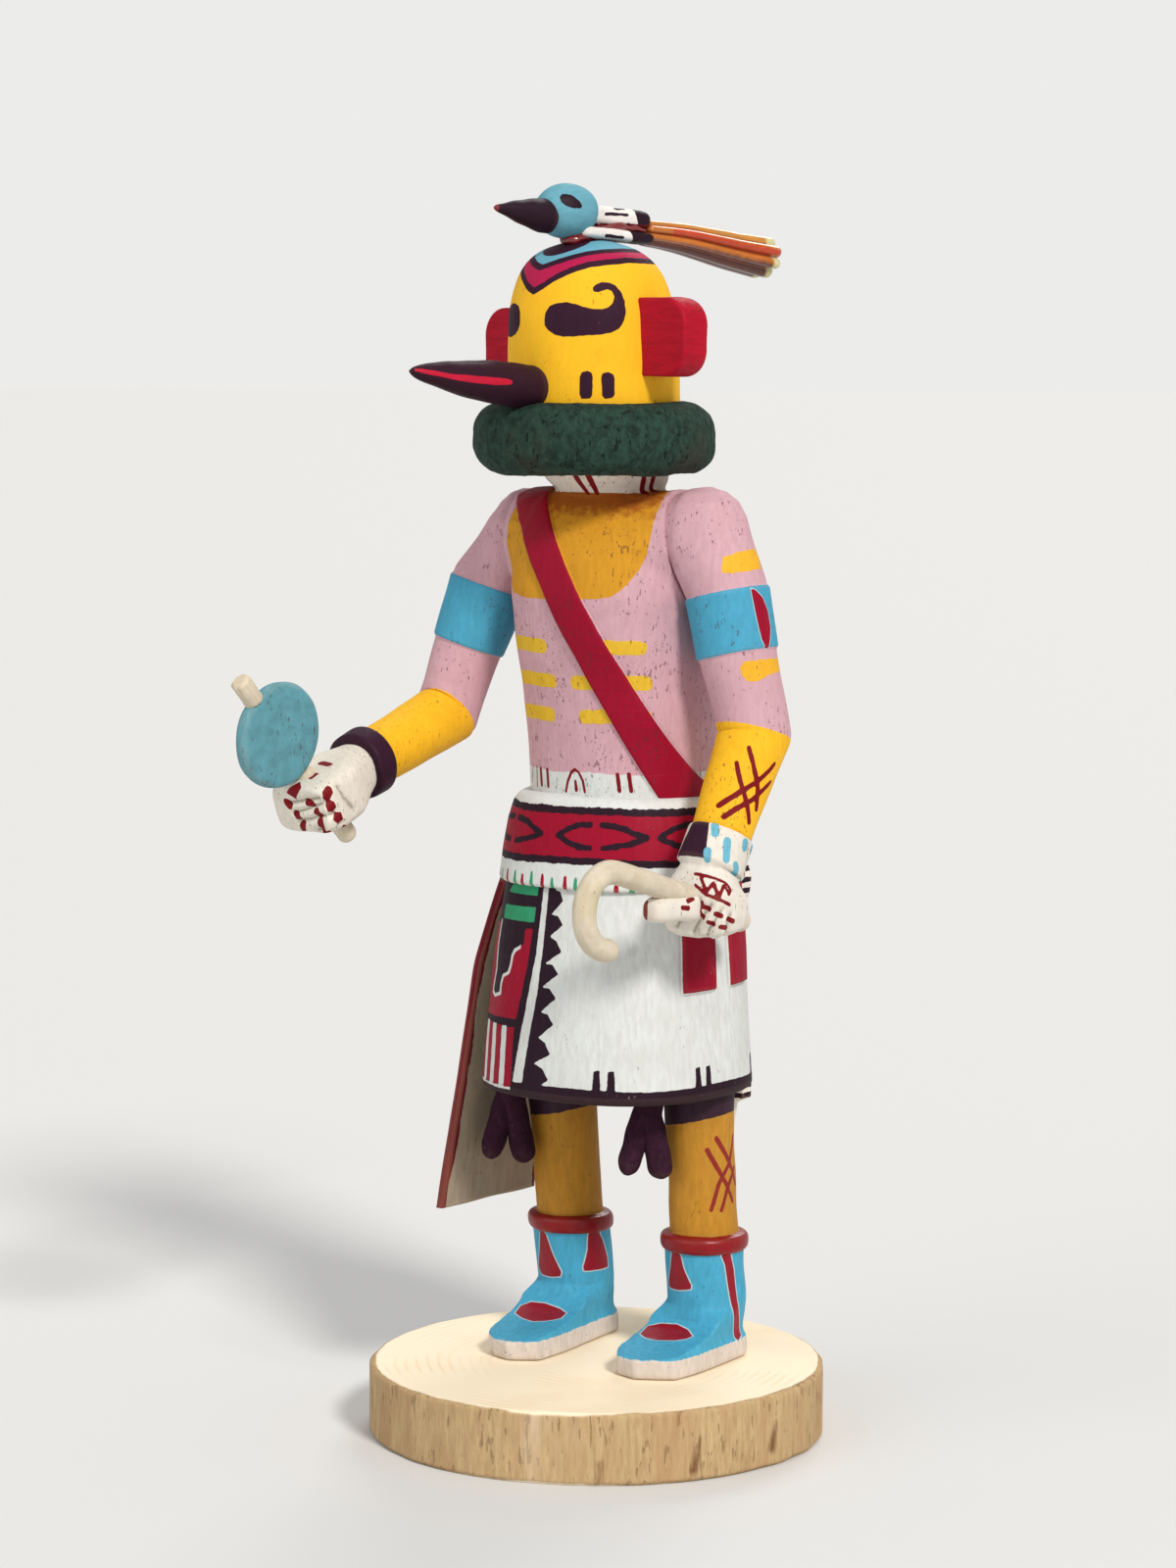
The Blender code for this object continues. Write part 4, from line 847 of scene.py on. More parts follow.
# %% Leg shape
def even_ring(outline, count):
    """The same closed outline with its points at equal steps from the first."""
    closed = np.concatenate([outline, outline[:1]])
    gaps = np.linalg.norm(np.diff(closed, axis=0), axis=1)
    along = np.concatenate([[0.0], np.cumsum(gaps)])
    places = np.linspace(0.0, along[-1], count, endpoint=False)
    return np.stack([np.interp(places, along, column) for column in closed.T], 1)


def leg_skin(name, toe, turned, heel, ring_place, top_place):
    sides = 230
    turn = math.radians(turned)
    forward = np.array([math.sin(turn), -math.cos(turn)])
    across = np.array([-math.cos(turn), -math.sin(turn)])
    back = np.radians(np.linspace(180.0, 260.0, 12))
    rest = np.radians(np.linspace(100.0, 173.0, 11))
    heel_arcs = [[(8.7 * math.cos(a), 8.7 * math.sin(a)) for a in arc] for arc in (back, rest)]
    outline = even_ring(np.array(heel_arcs[0] + toe[::-1] + heel_arcs[1]), 400)
    outline = sum(np.roll(outline, k, axis=0) for k in range(-3, 4)) / 7.0
    longest = outline[:, 0].max()
    rows = []

    def add(z, measure, local):
        x = np.interp(z, (15.5, 43.5, 75.6), (heel[0], ring_place[0], top_place[0]))
        y = np.interp(z, (15.5, 43.5, 75.6), (heel[1], ring_place[1], top_place[1]))
        ring = np.array([x, y]) + np.outer(local[:, 0], forward) + np.outer(local[:, 1], across)
        rows.append([z, measure, *ring.ravel()])

    for rise, part, inset in ((0.0, 1.0, -0.4), (0.5, 1.0, 0.0), (4.05, 1.0, 0.0),
                              (4.3, 0.965, -0.15), (4.75, 0.87, -0.4), (5.3, 0.74, -0.6),
                              (6.2, 0.56, -0.7), (7.4, 0.41, -0.6), (9.2, 0.31, -0.3)):
        local = outline.copy()
        local[:, 0] = np.minimum(local[:, 0], longest * part)
        local = even_ring(local, sides)
        length = np.linalg.norm(local, axis=1)[:, None]
        add(15.8 + rise, longest * part, local * (length + inset) / length)
    round_way = np.pi + round_angles(sides)
    circle = np.stack([np.cos(round_way), np.sin(round_way)], 1)
    for z, radius in ((28.0, 8.6), (39.7, 8.7), (39.95, 9.35), (40.9, 9.7), (42.6, 9.7),
                      (43.4, 9.2), (43.7, 7.5), (55.5, 7.4), (71.6, 7.7), (79.6, 7.9)):
        add(z, radius, circle * radius)
    fine = dense_line(rows, 0.42, 0.32, 2)
    return skin(name, fine[:, 2:].reshape(len(fine), sides, 2) @ np.eye(2, 3)
                + fine[:, 0][:, None, None] * np.array([0.0, 0.0, 1.0]))


leg_right = leg_skin("leg_right", [
    (8.0, 8.4), (15.0, 8.0), (21.5, 7.4), (28.3, 6.2), (32.6, 2.4), (34.2, -2.4),
    (31.0, -8.2), (22.0, -9.0), (14.0, -8.9), (7.0, -8.7)],
    6.5, (-19.2, 18.6), (-19.4, 14.9), (-19.5, 11.6))
leg_left = leg_skin("leg_left", [
    (7.0, 8.9), (12.0, 9.1), (17.0, 9.2), (23.2, 9.0), (27.8, 6.0), (29.6, 0.6),
    (25.4, -7.2), (18.0, -8.4), (12.0, -8.6), (6.0, -8.7)],
    5.0, (17.1, 17.9), (17.5, 15.7), (17.9, 12.8))


# %% Boot and leg paint
def swapped(shapes):
    """The same marks on the other leg, mirrored left to right."""
    return [[(-x - 2.1, y, z) for x, y, z in shape] for shape in shapes]


right_tassels = [
    [(-21.7, 7.2, 40.6), (-20.3, 7.0, 40.6), (-18.4, 7.5, 34.9), (-16.7, 8.3, 30.9),
     (-17.0, 8.4, 29.8), (-19.3, 8.2, 29.4), (-22.6, 9.5, 29.6), (-24.0, 10.2, 31.0),
     (-22.6, 8.2, 36.0)],
    [(-11.0, 11.3, 40.6), (-10.2, 13.6, 40.6), (-10.7, 15.8, 37.2), (-10.9, 17.4, 33.5),
     (-10.9, 17.7, 31.2), (-11.0, 14.6, 31.1), (-12.6, 11.2, 31.1), (-12.6, 11.0, 32.0),
     (-12.0, 11.6, 35.9)]]
left_tassels = [
    [(14.8, 7.0, 40.6), (17.0, 6.5, 40.6), (18.0, 7.7, 36.8), (19.6, 8.2, 32.9),
     (19.5, 8.2, 32.0), (16.5, 8.1, 31.4), (12.9, 9.4, 31.3), (12.5, 9.5, 32.4),
     (14.0, 8.3, 36.1)]]
left_stripe = [
    [(25.7, 11.1, 41.1), (26.6, 13.5, 41.2), (25.9, 15.3, 36.1), (25.9, 16.6, 28.8),
     (25.2, 18.5, 23.6), (25.3, 19.2, 20.6), (25.8, 17.3, 19.8), (25.6, 16.3, 20.5),
     (25.6, 15.7, 24.1), (25.5, 14.1, 31.5), (25.3, 12.8, 37.4)]]
right_tongue = [
    [(-22.9, -0.5, 22.2), (-24.0, 3.0, 23.1), (-22.5, 4.6, 23.7), (-18.8, 5.3, 23.8),
     (-14.3, 5.0, 23.4), (-11.9, 4.0, 23.0), (-11.4, 1.4, 22.3), (-13.7, -1.1, 21.9),
     (-16.2, -2.5, 21.7), (-19.7, -2.0, 21.8)]]
left_tongue = [
    [(11.0, 1.2, 22.1), (10.2, 4.9, 23.2), (12.7, 6.2, 23.8), (16.8, 6.9, 24.0),
     (20.2, 6.3, 23.4), (22.8, 4.5, 22.7), (22.1, 3.0, 22.3), (19.7, 1.5, 22.0),
     (16.2, 0.1, 21.8), (13.3, 0.1, 21.8)]]
back_tassel = [[(17.0, 24.6, 41.0), (19.0, 24.4, 41.0), (20.4, 24.8, 36.0), (21.6, 24.6, 31.4),
                (18.0, 25.2, 30.8), (14.4, 24.8, 31.4), (15.6, 24.8, 36.0)]]
left_hatch = [
    [(24.6, 10.5, 65.7), (25.2, 13.4, 61.5), (24.8, 16.4, 57.0), (24.4, 17.7, 54.4)],
    [(24.8, 16.3, 65.4), (25.1, 14.4, 59.7), (24.4, 11.7, 55.4), (23.3, 10.4, 49.7)],
    [(23.3, 8.9, 63.2), (24.2, 10.8, 59.7), (24.9, 13.8, 55.1), (24.8, 16.1, 50.9)],
    [(24.7, 16.7, 58.4), (25.0, 14.1, 54.1), (24.5, 12.5, 49.5)]]
boot_paint = painted("boot_and_leg_paint", colour(70, 166, 202), [
    ("sole", colour(218, 208, 200), 0.3, 0.6), ("outline", colour(188, 210, 216), 0.07, 0.6),
    ("red", colour(146, 8, 34), 0.05, 0.45), ("leg", colour(190, 134, 36), 0.05, 0.6),
    ("ring", colour(138, 4, 18), 0.05, 0.28), ("hatch", colour(140, 34, 24), 0.12, 0.55),
    ("upper", AUBERGINE, 0.2, 0.6)],
    pits=0.35, wear=0.03, dirt_and_shade=0.35, streak=0.22, shade=0.76, shine=0.3,
    pit_colour=colour(70, 40, 44))
for leg, shapes, hatch, foot, seed in (
        (leg_left, left_tassels + left_stripe + left_tongue + swapped(right_tassels[1:])
         + back_tassel, left_hatch, (68.3, 15.5, 0.217, 6.3), 21),
        (leg_right, right_tassels + right_tongue + swapped(left_stripe + back_tassel),
         swapped(left_hatch), (65.8, -25.8, 0.186, 8.4), 22)):
    points, facing = places_of(leg)
    soft_skin = np.where(points[:, 2] > 19.0, 0.14, 0.05)
    move_out(leg, soft_skin * ripple(points, 12.0, seed))
    z = points[:, 2]
    red = nearest(patch_on(points, facing, shape) for shape in shapes)
    red = np.where(z > 43.0, 100.0, red)
    base_z, base_x, slope, base_y = foot
    upper = base_z + slope * (points[:, 0] - base_x) + 0.066 * (points[:, 1] - base_y) - z
    keep_marks(leg, sole=z - 19.95, outline=red - 0.28, red=red, leg=43.62 - z,
               ring=np.maximum(z - 43.72, 39.85 - z), upper=upper,
               hatch=lines_on(leg, points, hatch, (1.15, 0.95)))
    finish_piece(leg, boot_paint, "painted_wood", "body")

# %% [markdown]
# ## Arms and hands
# The arms are bent round rods that end in blocky fists. Armbands and cuffs were left
# standing a little proud. The fingers are only shallow cuts in the fist, so they are pressed
# into the skin along the same lines that carry the paint.


# %% Arm shape
HIDDEN_FACE_X = 21.5


def way_along(points, start, end):
    """How far each point lies past the start of a stretch of the arm, and its length."""
    start, end = np.array(start), np.array(end)
    length = np.linalg.norm(end - start)
    return (points - start) @ ((end - start) / length), length


def band_gap(points, start, end):
    """Distance to a band that goes round the arm between two places on its middle line."""
    along, length = way_along(points, start, end)
    middle = 0.5 * (np.array(start) + np.array(end))
    return np.where(np.linalg.norm(points - middle, axis=1) > 16.0, 50.0,
                    np.maximum(-along, along - length))


def past(points, start, end):
    """Below nought beyond the plane through start, on the far side towards end."""
    return np.where(points[:, 2] > 165.0, 50.0, -way_along(points, start, end)[0])


def arm_skin(name, rows, sign, bands, cuts, seed):
    """bands: (start, end, rise) places along the arm; cuts: lines pressed in as fingers."""
    rings = tube_rows(dense_line(rows, 0.42, 0.35, 5), 126, (sign, 0.0, 0.0))
    in_trunk = (rings[:, :, 2] > 178.0) & (sign * rings[:, :, 0] < HIDDEN_FACE_X)
    rings[:, :, 0] = np.where(in_trunk, sign * HIDDEN_FACE_X, rings[:, :, 0])
    arm = skin(name, rings)
    points, facing = places_of(arm)
    rise = 0.14 * ripple(points, 13.0, seed)
    for start, end, height in bands:
        rise += step_up(band_gap(points, start, end), height, 0.45)
    for line in cuts:
        gap = line_gap(points, settle(arm, line), 0.0)
        rise -= 0.8 * np.exp(-(gap / 0.7) ** 2)
    move_out(arm, rise)
    keep_marks(arm)
    return arm


def blend_joints(pieces, heights, reaches):
    """Round off the crease between pieces; how far the rounding reaches goes by height.

    The first piece is the trunk. Each point near another piece moves to a skin that runs
    smoothly from its own piece to the other, and sinks where it would lie inside it.
    """
    graph = bpy.context.evaluated_depsgraph_get()
    trees = [BVHTree.FromObject(piece, graph) for piece in pieces]

    def off_skin(tree, place):
        """How far, in mm, a place lies outside a skin, and the way out."""
        near, out, _, _ = tree.find_nearest(place)
        return (place - near).dot(out) / MM, out

    for own, piece in enumerate(pieces):
        points, _ = places_of(piece)
        places = points * MM
        for i in np.flatnonzero(points[:, 2] > heights[0]):
            reach = float(np.interp(points[i, 2], heights, reaches))
            place = Vector(places[i])
            for other, tree in enumerate(trees):
                if other == own or tree.find_nearest(place, reach * MM)[0] is None:
                    continue
                depth, _ = off_skin(tree, place)
                if depth < -0.6 * reach:
                    continue
                sink = 1.5 * min(0.0, depth + 1.0)
                if own == 0:
                    sink -= 0.25
                else:
                    sink -= 0.5 * max(0.0, HIDDEN_FACE_X + 2.0 - abs(points[i, 0]))
                for _ in range(3):
                    mine, way = off_skin(trees[own], place)
                    theirs, out = off_skin(tree, place)
                    share = min(max(0.5 + 0.5 * (theirs - mine) / reach, 0.0), 1.0)
                    level = theirs + (mine - theirs) * share - reach * share * (1.0 - share)
                    push = way * share + out * (1.0 - share)
                    place = place - push.normalized() * ((level - sink) * MM)
                places[i] = place
        places = points * MM + even_out(piece, places - points * MM, 14)
        piece.data.vertices.foreach_set("co", places.astype(np.float32).ravel())
        piece.data.update()


LEFT_BAND = ((30.45, 5.7, 184.7), (33.35, 5.8, 171.8))
LEFT_CUFF = ((36.1, -3.9, 134.25), (35.9, -7.7, 127.35))
RIGHT_BAND = ((-30.95, 0.85, 184.5), (-34.45, -2.15, 171.2))
RIGHT_CUFF = ((-36.4, -33.2, 148.1), (-36.3, -37.9, 146.7))
left_rows = [
    (24.2, 5.2, 205.8, 2.2, 2.4, 2.0), (24.4, 5.2, 205.0, 4.8, 5.2, 2.0),
    (24.8, 5.2, 202.6, 7.2, 7.6, 2.0), (25.6, 5.3, 198.8, 8.5, 8.7, 2.0),
    (28.0, 5.5, 191.0, 8.7, 8.7, 2.0), (30.4, 5.7, 184.9, 8.6, 8.6, 2.0),
    (33.4, 5.8, 171.6, 8.35, 8.35, 2.0), (35.6, 7.0, 161.0, 7.7, 7.7, 2.0),
    (36.6, 7.4, 154.6, 7.7, 7.7, 2.0), (36.3, 1.4, 144.0, 7.0, 7.0, 2.0),
    (36.1, -3.8, 134.4, 6.4, 6.4, 2.0), (35.9, -7.6, 127.5, 6.4, 6.4, 2.1),
    (35.9, -7.8, 127.2, 5.7, 5.9, 2.2), (35.9, -8.7, 124.9, 6.0, 6.8, 2.8),
    (35.9, -9.2, 121.6, 6.4, 8.2, 4.4), (35.9, -9.2, 117.9, 6.3, 8.4, 4.6),
    (35.9, -8.8, 115.0, 5.6, 7.6, 4.2), (35.9, -8.6, 114.0, 4.6, 6.2, 3.6),
    (35.9, -8.5, 113.5, 0.2, 0.25, 2.2)]
right_rows = [
    (-22.6, 5.6, 203.6, 1.4, 2.0, 2.0), (-22.8, 5.6, 202.8, 3.4, 4.6, 2.0),
    (-23.0, 5.5, 200.6, 5.6, 7.0, 2.0), (-23.8, 4.8, 196.8, 7.5, 8.3, 2.0),
    (-26.8, 2.9, 191.0, 7.9, 8.6, 2.0), (-30.9, 0.9, 184.7, 8.5, 8.5, 2.0),
    (-34.5, -2.2, 171.0, 7.6, 7.6, 2.0), (-36.6, -4.4, 161.8, 7.1, 7.1, 2.0),
    (-37.4, -6.2, 156.4, 7.1, 7.1, 2.0), (-36.9, -21.0, 151.6, 6.6, 6.6, 2.0),
    (-36.4, -34.0, 147.9, 6.3, 6.3, 2.0), (-36.3, -37.6, 146.8, 6.2, 6.2, 2.0),
    (-36.3, -37.9, 146.7, 5.6, 5.7, 2.2), (-36.2, -41.5, 145.4, 6.0, 6.8, 2.8),
    (-36.1, -46.5, 143.0, 6.3, 8.4, 4.4), (-36.0, -51.5, 140.8, 6.3, 8.6, 4.6),
    (-36.0, -54.9, 139.5, 5.9, 8.0, 4.6), (-36.0, -56.2, 139.0, 5.2, 7.2, 4.2),
    (-36.0, -56.75, 138.8, 0.2, 0.25, 2.2)]
left_fingers = [
    [(38.8, -15.6, 121.8), (38.9, -17.8, 120.6), (32.3, -14.2, 115.4)],
    [(41.6, -14.7, 120.9), (40.8, -15.1, 119.8), (36.3, -14.2, 114.5)],
    [(43.2, -13.5, 119.6), (42.7, -14.1, 118.4), (38.4, -12.3, 113.5)],
    [(44.1, -11.1, 118.6), (44.0, -11.7, 117.4), (40.0, -10.4, 113.6)]]
right_fingers = [
    [(-38.1, -56.8, 140.6), (-33.6, -57.1, 141.4), (-30.0, -56.3, 142.3)],
    [(-37.5, -56.0, 138.6), (-32.0, -56.5, 139.8), (-28.8, -55.4, 141.7)],
    [(-36.6, -55.3, 136.6), (-31.4, -55.7, 137.8), (-28.5, -54.0, 139.0)],
    [(-36.5, -53.3, 134.8), (-31.4, -53.7, 135.5), (-29.0, -51.8, 136.6)],
    [(-28.4, -53.1, 144.4), (-27.6, -51.4, 141.9), (-27.6, -48.6, 139.4)]]
arm_left = arm_skin("arm_left_skin", left_rows, 1.0,
                    [(*LEFT_BAND, 0.5), (*LEFT_CUFF, 0.7)], left_fingers, 31)
arm_right = arm_skin("arm_right_skin", right_rows, -1.0,
                     [(*RIGHT_BAND, 0.5), (*RIGHT_CUFF, 1.4)], right_fingers, 32)
blend_joints([trunk, arm_left, arm_right], (180.0, 187.0, 194.0), (0.8, 5.0, 12.0))
print("arms:", len(arm_left.data.vertices), len(arm_right.data.vertices), "points")

# %% Marks on the left arm
points, facing = places_of(arm_left)
cuff = band_gap(points, *LEFT_CUFF)
yellow = points[:, 2] - 157.6 + 0.35 * (points[:, 1] - 0.5)
bars = nearest(patch_on(points, facing, shape) for shape in (
              [(34.0, -1.2, 189.2), (33.7, -1.2, 190.5), (34.0, -0.5, 192.5), (35.0, 1.2, 193.2),
               (35.4, 8.7, 193.8), (35.8, 9.5, 191.8), (37.2, 8.3, 189.7), (37.4, 3.3, 189.6),
               (35.8, 0.1, 189.2)],
              [(38.5, -0.4, 168.1), (38.2, -0.6, 169.6), (39.0, 0.0, 170.8), (40.8, 2.4, 171.0),
               (40.6, 10.1, 170.9), (41.1, 10.2, 168.2), (42.1, 4.5, 167.7), (41.0, 1.9, 166.5),
               (39.5, 0.4, 166.5)]))
leaf = patch_on(points, facing, [
    (38.9, 2.7, 186.1), (39.3, 3.8, 185.8), (39.7, 5.8, 184.0), (40.2, 7.0, 181.2),
    (41.0, 7.0, 177.7), (41.5, 5.9, 175.0), (41.4, 5.2, 173.4), (41.5, 4.2, 173.4),
    (41.2, 3.4, 175.6), (40.3, 3.0, 179.6), (39.3, 2.8, 184.1)])
hatch = lines_on(arm_left, points, [
    [(40.8, -0.4, 152.7), (42.3, -0.6, 148.3), (43.1, -0.2, 144.1), (42.8, -0.5, 139.9)],
    [(39.4, -2.9, 149.6), (40.7, -3.4, 145.9), (42.3, -3.1, 140.9), (42.6, -2.9, 137.3)],
    [(43.6, 4.8, 149.1), (42.9, 0.0, 145.8), (40.6, -4.7, 143.1), (38.1, -7.3, 140.8)],
    [(43.3, 3.8, 145.3), (42.9, -1.4, 142.1), (41.2, -5.5, 140.2), (39.6, -7.6, 138.6)]],
    (1.0, 1.25))
from_middle = points - np.array([36.0, -5.8, 130.8])
around = np.degrees(np.arctan2(from_middle[:, 0], -from_middle[:, 1] - 0.5))
cuff_dark = np.maximum(cuff, (np.abs(around + 10.0) - 33.0) * 0.12)
blobs = lines_on(arm_left, points, [
    [(38.9, -9.8, 137.1), (39.4, -10.3, 135.3)], [(41.6, -9.1, 133.8), (42.0, -10.1, 130.0)],
    [(39.1, -12.7, 131.9), (39.2, -12.8, 130.2)], [(43.0, -4.9, 133.3), (43.0, -5.0, 132.1)],
    [(42.9, -8.0, 128.7), (41.8, -7.1, 126.7)], [(42.6, -0.6, 135.0), (42.8, -1.8, 131.0)],
    [(38.0, 2.4, 132.6), (38.2, 2.0, 129.6)], [(32.0, 0.8, 133.6), (32.0, 0.6, 130.0)],
    [(29.2, -5.0, 131.6), (29.0, -5.4, 129.0)]], 1.7)
signs = lines_on(arm_left, points, [
    [(37.0, -14.1, 127.0), (38.6, -14.0, 126.9), (41.5, -12.9, 126.2), (42.7, -11.0, 125.0),
     (43.2, -10.3, 123.7), (43.6, -11.5, 122.8)],
    [(37.6, -14.4, 124.6), (40.5, -15.0, 123.0), (42.8, -14.0, 122.0), (44.0, -11.7, 120.8)],
    [(38.6, -14.3, 126.3), (40.6, -14.8, 123.4), (41.3, -13.4, 125.4), (42.8, -14.0, 122.1),
     (42.6, -11.9, 124.7), (43.5, -11.4, 123.0)]], 0.75)
finger_signs = lines_on(arm_left, points, [
    [(38.7, -18.9, 121.7), (39.0, -16.3, 120.9)], [(39.8, -15.2, 120.7), (41.4, -14.8, 119.9)],
    [(42.2, -14.3, 119.3), (43.3, -13.4, 118.5)], [(43.8, -12.3, 118.0), (43.9, -10.3, 117.2)],
    [(38.7, -20.6, 120.5), (38.8, -18.4, 119.7)], [(38.9, -16.2, 118.8), (39.9, -15.1, 118.2)],
    [(41.1, -14.9, 117.4), (41.8, -14.1, 116.8)], [(42.8, -13.3, 116.5), (43.2, -11.5, 115.8)]],
    1.15)
keep_marks(arm_left, cuts=lines_on(arm_left, points, left_fingers, 0.3),
           band=band_gap(points, *LEFT_BAND), cuff=past(points, *LEFT_CUFF), yellow=yellow,
           bars=bars, leaf=leaf, leaf_edge=leaf - 0.2, hatch=hatch, dark=cuff_dark,
           blobs=np.maximum(blobs, cuff - 0.6), signs=np.minimum(signs, finger_signs))
arm_paint = painted("arm_paint", PINK, [
    ("yellow", YELLOW, 0.12, 0.6),
    ("bars", colour(236, 178, 48), 0.3, 0.6), ("band", TURQUOISE, 0.1, 0.6),
    ("leaf_edge", colour(170, 206, 214), 0.06, 0.55), ("leaf", RED, 0.05, 0.5),
    ("cuff", colour(226, 220, 210), 0.1, 0.62), ("dark", AUBERGINE, 0.12, 0.55),
    # Painted shade: the finger cuts are darkened as shade in the creases between the fingers.
    ("cuts", colour(146, 140, 112), 0.1, 0.7, 0.4),
    ("blobs", colour(108, 178, 200), 0.12, 0.6), ("hatch", BRICK, 0.12, 0.55),
    ("signs", BRICK, 0.1, 0.55)], pits=0.55, wear=0.03, dirt_and_shade=0.35, streak=0.22, shade=0.84)
finish_piece(arm_left, arm_paint, "pink_paint", "arm_left")

# %% [markdown]
# The right hand grips the rattle's stick. Its cuff is a plain dark ring, and the nails and
# knuckles are red dabs.

# %% Marks on the right arm
points, facing = places_of(arm_right)
cuff = band_gap(points, *RIGHT_CUFF)
yellow = (points[:, 1] + 12.4 + 0.9 * (points[:, 2] - 160.2)) * 0.74 - 1.8
nails = nearest(patch_on(points, facing, shape) for shape in (
              [(-38.0, -57.3, 142.7), (-35.4, -56.3, 144.8), (-34.3, -56.9, 143.7),
               (-36.1, -57.3, 141.8)],
              [(-38.0, -51.9, 145.6), (-33.1, -53.5, 146.5), (-33.2, -55.2, 145.3)],
              [(-29.6, -55.0, 144.2), (-29.7, -56.2, 143.1), (-29.6, -56.1, 141.8),
               (-28.8, -55.4, 141.7), (-28.7, -54.5, 143.1), (-29.1, -54.6, 144.1)],
              [(-28.7, -55.6, 141.3), (-29.3, -55.6, 140.5), (-29.1, -55.1, 139.4),
               (-28.5, -54.2, 139.3), (-28.3, -53.8, 140.2), (-28.4, -54.5, 141.3)],
              [(-28.4, -53.5, 138.8), (-28.7, -54.0, 137.6), (-29.0, -52.4, 136.7),
               (-28.4, -51.8, 137.5), (-28.1, -52.6, 138.8)],
              [(-28.9, -50.8, 136.5), (-30.7, -50.1, 135.5), (-30.5, -49.7, 135.6),
               (-29.7, -49.3, 136.1), (-29.5, -49.1, 136.3)]))
knuckles = lines_on(arm_right, points, [
    [(-33.1, -57.0, 141.2), (-32.0, -56.8, 140.5)], [(-31.3, -56.3, 139.2), (-30.9, -55.7, 138.4)],
    [(-31.0, -54.9, 136.9), (-30.8, -53.8, 135.8)], [(-31.5, -52.8, 135.0), (-31.5, -52.3, 134.9)],
    [(-37.2, -55.9, 138.3), (-36.6, -55.7, 137.6)], [(-36.1, -55.1, 136.2), (-36.6, -53.8, 135.1)],
    [(-36.4, -53.1, 134.6), (-35.8, -53.0, 134.6)], [(-39.1, -56.9, 140.8), (-38.4, -56.6, 139.9)],
    [(-35.9, -49.4, 148.6), (-33.4, -49.8, 148.2)]], 1.2)
keep_marks(arm_right, cuts=lines_on(arm_right, points, right_fingers, 0.3),
           band=band_gap(points, *RIGHT_BAND), cuff=past(points, *RIGHT_CUFF), yellow=yellow,
           signs=np.minimum(nails, knuckles) - 0.25, dark=cuff - 0.6)
right_paint = painted("right_arm_paint", PINK, [
    ("yellow", YELLOW, 0.12, 0.6),
    ("band", TURQUOISE, 0.1, 0.6), ("cuff", colour(226, 220, 208), 0.1, 0.62),
    # Painted shade: the finger cuts are darkened as shade in the creases between the fingers.
    ("cuts", colour(150, 142, 116), 0.1, 0.7, 0.4),
    ("dark", AUBERGINE, 0.1, 0.5), ("signs", BRICK, 0.1, 0.5)],
    pits=0.55, wear=0.0, dirt_and_shade=0.35, streak=0.22, shade=0.84)
finish_piece(arm_right, right_paint, "pink_paint", "arm_right")

# %% Left thumb
thumb = skin("thumb_left", tube_rows(dense_line([
    (35.9, -9.0, 119.4, 3.4, 3.0, 2.6), (35.9, -11.0, 119.6, 3.6, 3.2, 2.8),
    (35.6, -19.0, 120.4, 3.3, 2.9, 2.8), (35.2, -25.4, 120.4, 3.0, 2.7, 2.8),
    (35.1, -26.9, 120.3, 2.6, 2.3, 2.8), (35.0, -27.5, 120.3, 1.6, 1.5, 2.6)], 0.4, 0.3),
    54, (0.0, 0.0, 1.0)))
points, _ = carve(thumb, 0.1, 9.0, 33)
keep_marks(thumb, signs=nearest(lines_on(thumb, points, [line], width) for line, width in (
    ([(33.4, -27.2, 121.6), (33.4, -27.2, 119.2)], 2.3),
    ([(32.8, -25.4, 122.2), (34.4, -25.3, 122.9)], 1.2),
    ([(38.7, -18.9, 121.9), (38.6, -17.0, 122.3)], 1.1),
    ([(38.8, -20.8, 120.7), (38.8, -19.0, 120.4)], 1.1))))
thumb_paint = painted("hand_paint", colour(226, 220, 210), [("signs", BRICK, 0.1, 0.5)],
                      pits=0.3, wear=0.08, dirt_and_shade=0.5, streak=0.15, shade=0.88)
finish_piece(thumb, thumb_paint, "pink_paint", "arm_left")

# %% [markdown]
# ## Ruff, ears and beak
# The ruff is a thick wooden ring painted dark green, with a coarse, porous skin. The ears
# are square tabs with rounded outer corners. The beak is a long cone, nearly black, with one
# red stroke along each side.

# %% Ruff
section = [(17.9, 210.6), (18.4, 209.8)]
for middle, start in ((215.8, -90.0), (218.8, 0.0)):
    for step in range(13):
        angle = math.radians(start + 90.0 * step / 12.0)
        section.append((19.8 + 6.2 * math.cos(angle), middle + 6.2 * math.sin(angle)))
section += [(18.4, 224.9), (17.9, 223.9)]
section = even_ring(np.array(section), 100)
section = sum(np.roll(section, k, axis=0) for k in range(-2, 3)) / 5.0
ruff = skin("ruff_ring", oval_rows([(z, -1.1, r, r, 2.0) for r, z in section], 380), loop=True)
points, _ = places_of(ruff)
coarse = 0.3 * ripple(points, 17.0, 41) + 0.1 * ripple(points, 5.0, 42)
move_out(ruff, coarse + 0.04 * ripple(points, 2.2, 43) - 0.05)
ruff_paint, tree, shader = new_material("ruff_paint")
calc = partial(sums, tree)
grain = noise_of(tree, (1.0, 1.0, 0.6), 1500.0, 5.0, 0.7)
coarse_grain = noise_of(tree, (1.0, 1.0, 0.7), 620.0, 4.0, 0.7)
cloud = noise_of(tree, None, 60.0)
tint = blend(tree, span(tree, coarse_grain, 0.3, 0.7), colour(22, 38, 33), colour(42, 68, 58))
tint = blend(tree, span(tree, cloud, 0.5, 0.8, 0.0, 0.6), tint, colour(56, 50, 38))
pores = put(tree, "ShaderNodeGroup", {"Amount": 1.0, "Scale": 900.0, "Stretch": (1.0, 1.0, 0.35)},
            node_tree=pit_tree).outputs["Pits"]
tint = blend(tree, calc("MULTIPLY", pores, 0.85), tint, colour(8, 16, 12))
tint = blend(tree, span(tree, grain, 0.6, 0.76, 0.0, 0.3), tint, colour(90, 122, 100))
tree.links.new(tint, shader.inputs["Base Color"])
shader.inputs["Roughness"].default_value = 0.9
